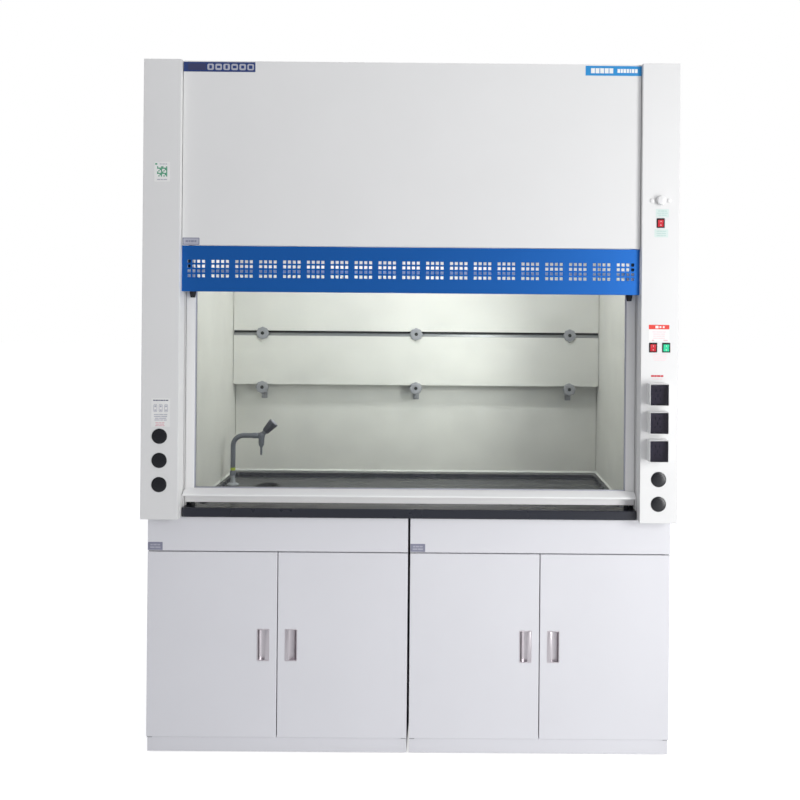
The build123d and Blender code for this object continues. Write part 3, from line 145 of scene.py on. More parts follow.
# %% Powder coat
def powder_coat(name, code, gloss=0.38, ripple=0.02, shade=0.94, flake=0.0):
    """A coat of paint; flake is the share of metal flakes in it."""
    material, tree, output, metres = blank(name)
    cloud = add(tree, "ShaderNodeTexNoise", {"Scale": 1 / 0.35, "Detail": 3.0}, {"Vector": metres})
    colour = linear(code)
    tint = add(
        tree, "ShaderNodeMix", {"A": colour, "B": [c * shade for c in colour[:3]] + [1.0]},
        {"Factor": cloud.outputs["Fac"]}, data_type="RGBA",
    )
    sheen = add(
        tree, "ShaderNodeMapRange", {"To Min": gloss - 0.05, "To Max": gloss + 0.07},
        {"Value": cloud.outputs["Fac"]},
    )
    peel = add(tree, "ShaderNodeTexNoise", {"Scale": 1 / 0.002, "Detail": 2.0}, {"Vector": metres})
    corner = add(tree, "ShaderNodeBevel", {"Radius": 1.5 * MM}, samples=4)
    bump = add(
        tree, "ShaderNodeBump", {"Strength": ripple, "Distance": 0.4 * MM},
        {"Height": peel.outputs["Fac"], "Normal": corner.outputs["Normal"]},
    )
    paint = add(
        tree, "ShaderNodeBsdfPrincipled", {"IOR": 1.5, "Metallic": flake},
        {
            "Base Color": tint.outputs["Result"],
            "Roughness": sheen.outputs["Result"],
            "Normal": bump.outputs["Normal"],
        },
    )
    tree.links.new(paint.outputs["BSDF"], output.inputs["Surface"])
    return material


white_coat = powder_coat("powder_coated_steel_white", "e9e9e8")
cupboard_coat = powder_coat("powder_coated_steel_cupboard", "e6e6ea")
blue_coat = powder_coat("powder_coated_steel_blue", "1c69c0", gloss=0.42, shade=0.85, flake=0.65)
handle_coat = powder_coat("powder_coated_aluminium_white", "f2f2f1", gloss=0.32)
print("powder coats:", white_coat.name, cupboard_coat.name, blue_coat.name, handle_coat.name)

# %% [markdown]
# ## Compact laminate
# The chamber is lined with a dense resin-and-paper board, cream with a touch of green. It is pressed
# against a matt plate, so it scatters light softly and has faint clouds in it, with a very fine grain under
# them.

# %% Lining board
def laminate(name, code, gloss=0.5):
    material, tree, output, metres = blank(name)
    cloud = add(tree, "ShaderNodeTexNoise", {"Scale": 1 / 0.12, "Detail": 5.0}, {"Vector": metres})
    ramp = add(tree, "ShaderNodeValToRGB", None, {"Fac": cloud.outputs["Fac"]})
    ramp.color_ramp.elements[0].color = [c * 0.93 for c in linear(code)[:3]] + [1.0]
    ramp.color_ramp.elements[1].color = linear(code)
    ramp.color_ramp.elements[0].position = 0.3
    ramp.color_ramp.elements[1].position = 0.65
    grain = add(tree, "ShaderNodeTexNoise", {"Scale": 1 / 0.0012, "Detail": 3.0}, {"Vector": metres})
    bump = add(
        tree, "ShaderNodeBump", {"Strength": 0.06, "Distance": 0.15 * MM}, {"Height": grain.outputs["Fac"]}
    )
    board = add(
        tree, "ShaderNodeBsdfPrincipled", {"Roughness": gloss, "IOR": 1.52},
        {"Base Color": ramp.outputs["Color"], "Normal": bump.outputs["Normal"]},
    )
    tree.links.new(board.outputs["BSDF"], output.inputs["Surface"])
    return material


lining_board = laminate("compact_laminate_cream", "e9e8e3")
print("lining:", lining_board.name)

# %% [markdown]
# ## Cast epoxy resin
# The worktop and the drip cup are cast in black resin filled with silica. The face of the mould leaves a
# close satin skin. The filler shows as paler specks under half a millimetre, and use leaves fine wipe
# marks, which a stretched noise puts into the gloss.

# %% Worktop resin
def cast_resin(name, code, gloss=0.3):
    material, tree, output, metres = blank(name)
    specks = add(tree, "ShaderNodeTexVoronoi", {"Scale": 1 / 0.0022}, {"Vector": metres})
    ramp = add(tree, "ShaderNodeValToRGB", None, {"Fac": specks.outputs["Distance"]})
    ramp.color_ramp.elements[0].color = [c * 2.2 for c in linear(code)[:3]] + [1.0]
    ramp.color_ramp.elements[1].color = linear(code)
    ramp.color_ramp.elements[1].position = 0.16
    wiped = add(
        tree, "ShaderNodeMapping", {"Scale": (3.0, 22.0, 3.0), "Rotation": (0, 0, 0.3)}, {"Vector": metres}
    )
    marks = add(
        tree, "ShaderNodeTexNoise", {"Scale": 1.0, "Detail": 6.0}, {"Vector": wiped.outputs["Vector"]}
    )
    sheen = add(
        tree, "ShaderNodeMapRange", {"To Min": gloss - 0.08, "To Max": gloss + 0.12},
        {"Value": marks.outputs["Fac"]},
    )
    skin = add(tree, "ShaderNodeTexNoise", {"Scale": 1 / 0.0015, "Detail": 2.0}, {"Vector": metres})
    corner = add(tree, "ShaderNodeBevel", {"Radius": 2.0 * MM}, samples=4)
    bump = add(
        tree, "ShaderNodeBump", {"Strength": 0.05, "Distance": 0.2 * MM},
        {"Height": skin.outputs["Fac"], "Normal": corner.outputs["Normal"]},
    )
    resin = add(
        tree, "ShaderNodeBsdfPrincipled", {"IOR": 1.55},
        {
            "Base Color": ramp.outputs["Color"],
            "Roughness": sheen.outputs["Result"],
            "Normal": bump.outputs["Normal"],
        },
    )
    tree.links.new(resin.outputs["BSDF"], output.inputs["Surface"])
    return material


worktop_resin = cast_resin("cast_epoxy_resin_black", "1d202b", gloss=0.26)
print("worktop:", worktop_resin.name)

# %% [markdown]
# ## Metals
# The bare metals differ in how their surface was worked. Satin nickel is brushed one way. Zinc plate on the
# hidden frame and the screws has a mottled, dull face. The cables are twisted from stainless strands. All
# are the same recipe: a noise that is stretched along the direction of working, in millimetres, drives the
# roughness and a slight bump.

# %% Worked metal
def worked_metal(name, code, gloss, stretch, contrast=0.12, bump_strength=0.05):
    """stretch is the size of one mark in millimetres along X, Y and Z."""
    material, tree, output, metres = blank(name)
    scale = tuple(1 / (size * MM) for size in stretch)
    lines = add(tree, "ShaderNodeMapping", {"Scale": scale}, {"Vector": metres})
    marks = add(
        tree, "ShaderNodeTexNoise", {"Scale": 1.0, "Detail": 3.0}, {"Vector": lines.outputs["Vector"]}
    )
    sheen = add(
        tree, "ShaderNodeMapRange", {"To Min": gloss - contrast / 2, "To Max": gloss + contrast / 2},
        {"Value": marks.outputs["Fac"]},
    )
    tone = add(
        tree, "ShaderNodeMix", {"A": [c * 0.88 for c in linear(code)[:3]] + [1.0], "B": linear(code)},
        {"Factor": marks.outputs["Fac"]}, data_type="RGBA",
    )
    bump = add(
        tree, "ShaderNodeBump", {"Strength": bump_strength, "Distance": 0.1 * MM},
        {"Height": marks.outputs["Fac"]},
    )
    metal = add(
        tree, "ShaderNodeBsdfPrincipled", {"Metallic": 1.0},
        {
            "Base Color": tone.outputs["Result"],
            "Roughness": sheen.outputs["Result"],
            "Normal": bump.outputs["Normal"],
        },
    )
    tree.links.new(metal.outputs["BSDF"], output.inputs["Surface"])
    return material


satin_nickel = worked_metal("satin_nickel", "e2dce0", 0.36, (0.5, 0.5, 25))
zinc_plate = worked_metal("zinc_plated_steel", "a9abad", 0.45, (9, 9, 9), contrast=0.25)
screw_steel = worked_metal("zinc_plated_screw", "c3c4c6", 0.35, (1.5, 1.5, 1.5))
steel_strand = worked_metal("stainless_steel_strand", "b4b5b8", 0.3, (0.7, 0.7, 2.5), bump_strength=0.4)
weight_iron = powder_coat("painted_mild_steel", "4a4d50", gloss=0.5, ripple=0.06)
print("metals:", satin_nickel.name, zinc_plate.name, steel_strand.name)

# %% [markdown]
# ## Moulded plastics, rubber and tap coating
# Moulded parts take the texture of the tool. ABS and nylon are satin with a faint grain, rubber is matt,
# and the tap is brass under a grey epoxy coat, which has the same slightly pebbled look. One recipe covers
# them, with the grain's size in millimetres.

# %% Moulded plastic
def moulded(name, code, gloss=0.4, grain_size=0.8, grain_depth=0.05, coat=0.0, glow=0.0):
    material, tree, output, metres = blank(name)
    grain_scale = 1 / (grain_size * MM)
    grain = add(tree, "ShaderNodeTexNoise", {"Scale": grain_scale, "Detail": 2.0}, {"Vector": metres})
    uneven = add(tree, "ShaderNodeTexNoise", {"Scale": 1 / 0.03, "Detail": 3.0}, {"Vector": metres})
    tone = add(
        tree, "ShaderNodeMix", {"A": [c * 0.88 for c in linear(code)[:3]] + [1.0], "B": linear(code)},
        {"Factor": uneven.outputs["Fac"]}, data_type="RGBA",
    )
    sheen = add(
        tree, "ShaderNodeMapRange", {"To Min": gloss - 0.06, "To Max": gloss + 0.08},
        {"Value": uneven.outputs["Fac"]},
    )
    bump = add(
        tree, "ShaderNodeBump", {"Strength": grain_depth, "Distance": 0.15 * MM},
        {"Height": grain.outputs["Fac"]},
    )
    plastic = add(
        tree, "ShaderNodeBsdfPrincipled",
        {
            "IOR": 1.49, "Coat Weight": coat, "Coat Roughness": 0.08,
            "Emission Color": linear(code), "Emission Strength": glow,
        },
        {
            "Base Color": tone.outputs["Result"],
            "Roughness": sheen.outputs["Result"],
            "Normal": bump.outputs["Normal"],
        },
    )
    tree.links.new(plastic.outputs["BSDF"], output.inputs["Surface"])
    return material


black_abs = moulded("abs_black", "12131a", gloss=0.24)
white_abs = moulded("abs_white", "f0f0ef", gloss=0.3)
grey_nylon = moulded("glass_filled_nylon_grey", "a2a3a9", gloss=0.5)
natural_nylon = moulded("nylon_natural", "e4e1d6", gloss=0.42)
black_rubber = moulded("moulded_rubber_black", "101114", gloss=0.65, grain_size=1.2, grain_depth=0.12)
white_silicone = moulded("silicone_sealant_white", "f3f4f0", gloss=0.45, grain_size=3, grain_depth=0.15)
black_polypropylene = moulded("polypropylene_black", "14151a", gloss=0.36)
grey_polypropylene = moulded("polypropylene_grey", "8d9094", gloss=0.45)
soft_pvc = moulded("extruded_soft_pvc_grey", "b7b7c4", gloss=0.35, grain_depth=0.02)
tap_epoxy = moulded(
    "epoxy_coated_brass_grey", "70747f", gloss=0.33, grain_size=1.5, grain_depth=0.1, coat=0.3
)
tap_flange_epoxy = moulded("epoxy_coated_brass_pale", "a9acb3", gloss=0.28, coat=0.4)
knob_abs = moulded("abs_dark_grey", "4b4d59", gloss=0.4)
# The rockers' small glow is painted light: an emission that stands in for light passing through the
# translucent polycarbonate.
red_rocker = moulded("polycarbonate_red", "cf1228", gloss=0.22, grain_depth=0.02, coat=0.6, glow=0.12)
green_rocker = moulded("polycarbonate_green", "1fce96", gloss=0.22, grain_depth=0.02, coat=0.6, glow=0.25)
print("plastics done, grain from 0.8 mm to 3 mm")

# %% [markdown]
# ## Printed vinyl
# The stickers and plates are printed vinyl. Their real lettering is left out, and small blocks stand for
# it.

# %% Vinyl colours
vinyl = {
    name: moulded("printed_vinyl_" + name, code, gloss=0.35, grain_depth=0.02)
    for name, code in {
        "white": "f6f6f4", "grey": "8f90a3", "silver": "b9bac6", "ink": "3a3f66", "navy": "2a3f78",
        "sky": "2a93d6", "green": "2f9e74", "mint": "dcebe6", "mint_dark": "c3dcd6", "red": "ec3a2c",
        "pink": "f6dfe2", "pink_dark": "eab9c0", "crimson": "cf2436", "lime": "c6d63a",
        "pale_ink": "b7b7c4",
    }.items()
}
print(len(vinyl), "vinyl colours")

# %% [markdown]
# ## Glass and smoked plastic
# The sash is 5 mm tempered glass. Light goes nearly straight through it, so a Transparent shader carries
# the view and a Glossy one adds the reflection that Fresnel's law gives at each angle. Seen from the front,
# that keeps the chamber behind it bright and free of grain. A faint green stands for the iron in the glass.
# The socket covers are smoked polycarbonate, the same idea with a much darker tint.

# %% See-through materials
def clear_sheet(name, code, ior, gloss):
    material, tree, output, metres = blank(name)
    dust = add(tree, "ShaderNodeTexNoise", {"Scale": 1 / 0.2, "Detail": 4.0}, {"Vector": metres})
    smear = add(
        tree, "ShaderNodeMapRange", {"To Min": gloss, "To Max": gloss + 0.05}, {"Value": dust.outputs["Fac"]}
    )
    through = add(tree, "ShaderNodeBsdfTransparent", {"Color": linear(code)})
    shine = add(
        tree, "ShaderNodeBsdfAnisotropic", {"Color": linear("ffffff")}, {"Roughness": smear.outputs["Result"]}
    )
    angle = add(tree, "ShaderNodeFresnel", {"IOR": ior})
    mix = add(tree, "ShaderNodeMixShader", None, {"Fac": angle.outputs["Fac"]})
    tree.links.new(through.outputs["BSDF"], mix.inputs[1])
    tree.links.new(shine.outputs["BSDF"], mix.inputs[2])
    tree.links.new(mix.outputs["Shader"], output.inputs["Surface"])
    return material


sash_pane = clear_sheet("tempered_glass", "f8faf8", 1.45, 0.02)
smoked_cover = clear_sheet("smoked_polycarbonate", "b0adb8", 1.5, 0.08)
diffuser = clear_sheet("acrylic_diffuser", "f4f6f4", 1.49, 0.35)
tube_glass = moulded("lamp_tube_phosphor", "fbfbf4", gloss=0.2, grain_depth=0.0, glow=1.2)
print("see-through:", sash_pane.name, smoked_cover.name, diffuser.name)

# %% [markdown]
# ## Finishes for the CAD pieces
# Panels, boards and extrusions already have their true shape in the CAD model, down to the folds and the
# punched holes. They are carried over as they are and only change their material.

# %% Dress the CAD pieces
finishes = {
    white_coat: ["column_left", "column_right", "side_panel_left", "side_panel_right", "front_cover",
                 "roof_panel", "back_panel", "lamp_housing"],
    cupboard_coat: ["cabinet_left_carcass", "cabinet_right_carcass", "cabinet_aprons", "cabinet_plinths",
                    "cabinet_shelves"],
    blue_coat: ["bypass_grille"],
    lining_board: ["liner_walls", "liner_ceiling", "baffle_top", "baffle_middle", "baffle_bottom"],
    worktop_resin: ["worktop"],
    handle_coat: ["sash_tracks", "sash_frame"],
    zinc_plate: ["upper_frame", "levelling_feet", "door_pivots"],
    weight_iron: ["counterweight_left", "counterweight_right"],
    natural_nylon: ["pulley_left", "pulley_right"],
    sash_pane: ["sash_glass"],
    diffuser: ["lamp_window"],
    tube_glass: ["lamp_tubes"],
    black_abs: ["cable_gland"],
}
for finish, names in finishes.items():
    for name in names:
        nodes[name].data.materials.clear()
        nodes[name].data.materials.append(finish)
print(sum(len(names) for names in finishes.values()), "CAD pieces keep their shape")

# %% [markdown]
# ## Tools for shapes
# The rebuilt pieces are drawn with bmesh, Blender's own mesh editor for scripts. Four ways of making a
# solid are enough: a block with rounded edges, a turned solid, a tube along a path, and a stack of outlines
# joined by quads. A piece is finished by one function, which smooths it up to a corner angle and hangs it
# on its body.

# %% Blocks and rings of points
def block(mesh, low, high, radius=0.0, steps=2):
    """A box between two corners, with its edges rounded to the radius."""
    low, high = Vector(low), Vector(high)
    place = Matrix.Translation((low + high) / 2) @ Matrix.Diagonal((high - low).to_4d())
    corners = bmesh.ops.create_cube(mesh, size=1.0, matrix=place)["verts"]
    if radius:
        edges = list(dict.fromkeys(edge for corner in corners for edge in corner.link_edges))
        bmesh.ops.bevel(mesh, geom=edges, offset=radius, segments=steps, affect="EDGES", profile=0.5)


def axes(direction):
    """Two directions at right angles to the given one and to each other."""
    along = Vector(direction).normalized()
    first = along.cross(Vector((0, 0, 1)) if abs(along.z) < 0.9 else Vector((1, 0, 0))).normalized()
    return along, first, along.cross(first)


def bridge(mesh, rings, closed_ends=True):
    """Join rings of points, each as long as the next, with quads, and cap the two ends."""
    rings = [[mesh.verts.new(point) for point in ring] for ring in rings]
    for near, far in zip(rings, rings[1:]):
        for i in range(len(near)):
            j = (i + 1) % len(near)
            mesh.faces.new((near[i], near[j], far[j], far[i]))
    if closed_ends:
        mesh.faces.new(rings[0][::-1])
        mesh.faces.new(rings[-1])


print("blocks and rings of points ready")

# %% [markdown]
# ## Turned solids and tubes
# A turned solid is a profile of radius and distance spun about an axis, as on a lathe. A tube carries a
# circle along a path of points, and swings it only as far as the path bends, so that it never twists.

# %% Turned solids and tubes
def turned(mesh, profile, start, direction, sides=48, flutes=0, depth=0.0):
    """Turn (radius, distance) points in millimetres about an axis. Flutes cut into the radius by depth."""
    along, first, second = axes(direction)
    rings = []
    for radius, distance in ((r * MM, d * MM) for r, d in profile):
        ring = []
        for i in range(sides):
            turn = 2 * pi * i / sides
            cut = depth * (0.5 - 0.5 * cos(flutes * turn)) if flutes and radius > 4 * depth else 0
            reach = radius - cut
            ring.append(Vector(start) + along * distance + (first * cos(turn) + second * sin(turn)) * reach)
        rings.append(ring)
    bridge(mesh, rings)


def tube(mesh, path, radius, sides=20):
    """A round bar along a path of points, with its ends closed."""
    path = [Vector(point) for point in path]
    _, side, _ = axes(path[1] - path[0])
    rings = []
    for i, point in enumerate(path):
        along = (path[min(i + 1, len(path) - 1)] - path[max(i - 1, 0)]).normalized()
        side = (side - along * side.dot(along)).normalized()
        other = along.cross(side)
        turns = [2 * pi * k / sides for k in range(sides)]
        rings.append([point + (side * cos(t) + other * sin(t)) * radius for t in turns])
    bridge(mesh, rings)


print("turned solids and tubes ready")

# %% [markdown]
# ## Finishing a piece
# Every drawn piece ends the same way. Its faces are turned outwards and smoothed up to a corner angle, and
# it gets its material, the body that it rides on and the CAD pieces that it stands for.

# %% Finish a piece
def finish(name, mesh, material, body, replaces=(), corner=35, slot=None):
    """Turn a bmesh into a named piece that rides on a body, if one is given, and stands for CAD nodes."""
    bmesh.ops.recalc_face_normals(mesh, faces=mesh.faces)
    data = bpy.data.meshes.new(name)
    mesh.to_mesh(data)
    mesh.free()
    data.polygons.foreach_set("use_smooth", [True] * len(data.polygons))
    data.set_sharp_from_angle(angle=radians(corner))
    piece = bpy.data.objects.new(name, data)
    bpy.context.scene.collection.objects.link(piece)
    data.materials.append(material)
    if body:
        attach(piece, body)
    if replaces:
        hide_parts(*replaces)
    print(f"{name}: {len(data.polygons)} faces on {body}")
    return piece


print("every piece now ends in finish()")

# %% [markdown]
# ## Outlines
# Mouldings and stickers start from a rounded rectangle. The sash rail and the rockers start from an outline
# that is stretched along X, with its long edges rounded.

# %% Rounded outlines
def rounded(x, z, width, height, radius, y, steps=4):
    """The corners of a rounded rectangle standing in an XZ plane, as a ring of points."""
    ring = []
    for turn, (cx, cz) in enumerate(((1, 1), (-1, 1), (-1, -1), (1, -1))):
        centre_x, centre_z = x + cx * (width / 2 - radius), z + cz * (height / 2 - radius)
        for i in range(steps + 1):
            angle = pi / 2 * (turn + i / steps)
            ring.append(Vector((centre_x + radius * cos(angle), y, centre_z + radius * sin(angle))))
    return ring


def stack(mesh, x, z, face, layers, closed_ends=True):
    """Join rounded outlines of (width, height, corner radius, depth behind the face), all in millimetres."""
    rings = [rounded(x, z, w * MM, h * MM, r * MM, face + d * MM) for w, h, r, d in layers]
    bridge(mesh, rings, closed_ends)


def rail(mesh, outline, x_low, x_high, radius=0.0, steps=2):
    """A bar along X from an outline of (y, z) points, with its long edges rounded."""
    ends = [[mesh.verts.new((x, y, z)) for y, z in outline] for x in (x_low, x_high)]
    count = len(outline)
    sides = [mesh.faces.new((ends[0][i], ends[0][(i + 1) % count], ends[1][(i + 1) % count], ends[1][i]))
             for i in range(count)]
    mesh.faces.new(ends[0][::-1])
    mesh.faces.new(ends[1])
    if radius:
        edges = [edge for side in sides for edge in side.edges]
        long_edges = [edge for edge in edges if abs(edge.verts[0].co.x - edge.verts[1].co.x) > 1e-6]
        long_edges = list(dict.fromkeys(long_edges))
        bmesh.ops.bevel(mesh, geom=long_edges, offset=radius, segments=steps, affect="EDGES", profile=0.5)


print("shape tools ready")

# %% [markdown]
# ## Cupboard doors
# Each door is a folded steel pan with a hole for its pull and a flat sheet closing the back. A Solidify
# modifier gives a drawn skin its 1.5 mm of steel and a Bevel modifier rolls the folds first, so the edges
# catch the light as real folds do. The result is applied, because the doors swing and nothing on them
# should change.

# %% Door pans
door_words = ("left_outer", "left_inner", "right_inner", "right_outer")
sheet = 1.5 * MM
for word in door_words:
    low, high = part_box(f"door_{word}")
    pull_low, pull_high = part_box(f"door_{word}_pull")
    rim = 1.8 * MM
    xs = [low.x, pull_low.x + rim, pull_high.x - rim, high.x]
    zs = [low.z, pull_low.z + rim, pull_high.z - rim, high.z]
    shell = bmesh.new()
    grid = [[shell.verts.new((x, low.y, z)) for z in zs] for x in xs]
    for i in range(3):
        for j in range(3):
            if (i, j) != (1, 1):
                shell.faces.new((grid[i][j], grid[i + 1][j], grid[i + 1][j + 1], grid[i][j + 1]))
    around = [grid[i][0] for i in range(4)] + [grid[3][j] for j in (1, 2, 3)]
    around += [grid[i][3] for i in (2, 1, 0)] + [grid[0][j] for j in (2, 1)]
    back = [shell.verts.new((v.co.x, high.y, v.co.z)) for v in around]
    for i in range(len(around)):
        j = (i + 1) % len(around)
        shell.faces.new((around[i], back[i], back[j], around[j]))
    bmesh.ops.recalc_face_normals(shell, faces=shell.faces)
    front = min(shell.faces, key=lambda face: face.calc_center_median().y)
    if front.normal.y > 0:
        bmesh.ops.reverse_faces(shell, faces=shell.faces)
    door = f"door_{word}"
    pan = finish(door + "_pan", shell, cupboard_coat, door, [door], slot="powder_coat")
    roll = pan.modifiers.new("fold", "BEVEL")
    roll.width, roll.segments, roll.limit_method, roll.angle_limit = 1.6 * MM, 3, "ANGLE", radians(40)
    steel = pan.modifiers.new("sheet", "SOLIDIFY")
    steel.thickness, steel.offset = sheet, -1.0
    pan.modifiers.new("shading", "WEIGHTED_NORMAL").keep_sharp = True
    baked = bpy.data.meshes.new_from_object(pan.evaluated_get(bpy.context.evaluated_depsgraph_get()))
    pan.modifiers.clear()
    pan.data = baked
    cover = bmesh.new()
    inner_low = (low.x + sheet, high.y - sheet, low.z + sheet)
    inner_high = (high.x - sheet, high.y - 0.1 * MM, high.z - sheet)
    block(cover, inner_low, inner_high)
    finish(door + "_inner_sheet", cover, cupboard_coat, door, slot="powder_coat")

# %% [markdown]
# ## Flush door pulls
# A pull is a pressed nickel tray: a raised rim, a half-round trough for the fingers, and a lip on the side
# of the door's free edge to hook them behind. The rim is a stack of rounded outlines and the trough is a
# bent strip with two half-round ends.

# %% Door pulls
for word in door_words:
    low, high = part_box(f"door_{word}_pull")
    door_low, door_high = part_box(f"door_{word}")
    face = door_low.y
    x, z = (low.x + high.x) / 2, (low.z + high.z) / 2
    width, height = high.x - low.x, high.z - low.z
    free = 1 if x > (door_low.x + door_high.x) / 2 else -1
    pull = bmesh.new()
    inner_w, inner_h = width - 6.6 * MM, height - 7.2 * MM
    w, h, iw, ih = width / MM, height / MM, inner_w / MM, inner_h / MM
    rim = [(w, h, 2.5, 0), (w, h, 2.5, -0.7), (w - 0.8, h - 0.8, 2.2, -1.15)]
    rim += [(iw + 1.2, ih + 1.2, 1.2, -1.15), (iw, ih, 0.8, -0.6), (iw, ih, 0.8, 0.5)]
    stack(pull, x, z, face, rim, closed_ends=False)
    half, deep, steps = inner_w / 2, 12.8 * MM, 20
    arc = [(-half * cos(pi * i / steps), deep * sin(pi * i / steps)) for i in range(steps + 1)]
    rows = [[pull.verts.new((x + ax, face + ay, z + end * inner_h / 2)) for ax, ay in arc] for end in (-1, 1)]
    for i in range(steps):
        pull.faces.new((rows[0][i], rows[0][i + 1], rows[1][i + 1], rows[1][i]))
    pull.faces.new(rows[0])
    pull.faces.new(rows[1][::-1])
    edge = x + free * (width / 2 - 3.2 * MM)
    lip_x = sorted((edge, edge - free * 12 * MM))
    lip_low, lip_high = (lip_x[0], face - 1.1 * MM, z - inner_h / 2), (lip_x[1], face, z + inner_h / 2)
    block(pull, lip_low, lip_high, radius=0.45 * MM)
    finish(
        f"door_{word}_flush_pull", pull, satin_nickel, f"door_{word}", [f"door_{word}_pull"],
        corner=30, slot="satin_nickel",
    )

# %% [markdown]
# ## The sash handle
# The bottom rail of the sash is one extrusion: a channel for the glass with a sloping grip that turns down
# at the front, painted white. It is drawn as an outline across the hood and stretched along X. Soft grey
# strips seal the glass on both sides.

# %% Sash rail and glazing strips
rail_low, rail_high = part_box("sash_handle")
glass_low, glass_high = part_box("sash_glass")
back, sash_face = rail_high.y, rail_high.y - 20 * MM
grip = rail_high.z - 15 * MM
slot_low, slot_high = glass_low.y - 0.2 * MM, glass_high.y + 0.2 * MM
slot_floor = rail_high.z - 6 * MM
lip_y = rail_low.y + 3.5 * MM
handle = bmesh.new()
outline = [
    (sash_face, rail_low.z), (back, rail_low.z), (back, rail_high.z),
    (slot_high, rail_high.z), (slot_high, slot_floor), (slot_low, slot_floor), (slot_low, rail_high.z),
    (sash_face, rail_high.z), (rail_low.y, grip), (rail_low.y, grip - 6 * MM),
    (lip_y, grip - 6 * MM), (lip_y, grip - 2 * MM), (sash_face, rail_high.z - 3.5 * MM),
]
rail(handle, outline, rail_low.x, rail_high.x, radius=0.7 * MM, steps=3)
finish("sash_bottom_rail", handle, handle_coat, "sash", ["sash_handle"], corner=28, slot="handle_coat")

_, frame_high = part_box("sash_frame")
stile_x = rail_high.x - 30 * MM
strips = bmesh.new()
for y_low, y_high in ((glass_low.y - 2.2 * MM, glass_low.y), (glass_high.y, glass_high.y + 2.2 * MM)):
    for side in (-1, 1):
        x_low, x_high = sorted((side * stile_x, side * (stile_x - 4 * MM)))
        block(strips, (x_low, y_low, rail_high.z), (x_high, y_high, frame_high.z - 14 * MM), 0.6 * MM)
    block(strips, (-stile_x, y_low, rail_high.z), (stile_x, y_high, rail_high.z + 3 * MM), 0.6 * MM)
finish("sash_glazing_strips", strips, soft_pvc, "sash", slot="black_rubber")

# %% [markdown]
# ## Rubber stops
# Four tapered rubber stops take the knocks: two under the closed sash and two under the grille for when it
# is pushed right up. They are turned shapes with a soft edge, and the two under the grille have a screw
# through the middle.

# %% Sash stops
worktop_low, worktop_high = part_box("worktop")
grille_low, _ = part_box("bypass_grille")
_, stops_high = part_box("sash_bumpers")
stops, stop_screws = bmesh.new(), bmesh.new()
for side in (-1, 1):
    x = side * (stops_high.x - 11 * MM)
    y = sash_face + 8 * MM
    profile = [(9, 0), (9, 2), (8.2, 8), (7.6, 11.6), (6.8, 12.8), (3, 12.8)]
    turned(stops, profile, (x, y, worktop_high.z), UP)
    y = sash_face - 13 * MM
    profile = [(11, 0), (10.8, 3), (8.2, 19), (7.4, 20.8), (3.4, 20.8), (3.2, 18)]
    turned(stops, profile, (x, y, grille_low.z), DOWN)
    turned(stop_screws, [(2.9, 17), (2.9, 19.5), (2.2, 20.2)], (x, y, grille_low.z), DOWN)
finish("sash_rubber_stops", stops, black_rubber, "casing", ["sash_bumpers"], slot="black_rubber")
finish("sash_stop_screws", stop_screws, screw_steel, "casing", slot="galvanised")

# %% [markdown]
# ## The tap
# A laboratory tap is brass under grey epoxy. The neck is a bent tube, so it is swept along a path of a
# straight run, a quarter circle and another straight run. The valve body, union nut and barbed nozzle are
# turned, and the cone-shaped knob is turned with shallow flutes for a wet hand.

# %% Swan neck
flange_low, flange_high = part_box("tap_flange")
neck_low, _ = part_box("tap_neck")
tap = Vector(((flange_low.x + flange_high.x) / 2, (flange_low.y + flange_high.y) / 2, neck_low.z))
sunk, arm_rise, arm_reach = 12 * MM, 193 * MM, 110 * MM
bend, neck_radius = 40 * MM, 9.5 * MM
floor_z = worktop_high.z - sunk
arm_z = floor_z + arm_rise
valve_x = tap.x + arm_reach
route = [Vector((tap.x, tap.y, neck_low.z + 4 * MM)), Vector((tap.x, tap.y, arm_z - bend - 30 * MM))]
route += [
    Vector((tap.x + bend - bend * cos(pi / 2 * i / 16), tap.y, arm_z - bend + bend * sin(pi / 2 * i / 16)))
    for i in range(17)
]
route += [Vector((valve_x - 30 * MM, tap.y, arm_z)), Vector((valve_x - 6 * MM, tap.y, arm_z))]
neck = bmesh.new()
tube(neck, route, neck_radius, sides=32)
foot_profile = [(10.5, 0), (11.5, 1), (11.5, 15), (10.3, 16.4), (9.4, 16.4)]
turned(neck, foot_profile, (tap.x, tap.y, neck_low.z), UP)
union_profile = [(9.6, 0), (11, 1), (11, 20), (9.6, 22)]
turned(neck, union_profile, (valve_x - 34 * MM, tap.y, arm_z), (1, 0, 0), sides=36)
lean_angle = radians(47)
lean = Vector((cos(lean_angle), 0, sin(lean_angle)))
hub = Vector((valve_x, tap.y, arm_z))
body_profile = [(0.5, 14), (6, 13.2), (11, 10), (13.6, 5), (14, 0), (12.6, -7)]
body_profile += [(11.2, -14), (11, -30), (9.6, -38), (6, -43), (4.6, -44)]
for barb in range(4):
    foot = -46 - barb * 7
    body_profile += [(4.3, foot + 1.5), (5.2, foot), (3.8, foot - 4.8)]
body_profile += [(4.2, -72), (3.6, -75.5), (2.2, -75.5), (2.0, -66)]
turned(neck, body_profile, hub, UP, sides=36)
turned(neck, [(9.5, 0), (9.5, 17), (8, 19.6), (4, 20)], hub, lean, sides=36)
finish("tap_swan_neck", neck, tap_epoxy, "tap_neck", ["tap_neck"], slot="tap_coat")

# %% [markdown]
# ## The tap's other pieces
# The knob turns on the valve body, and the flange and the nut clamp the tap to the worktop. The ring's
# colour tells what the tap carries.

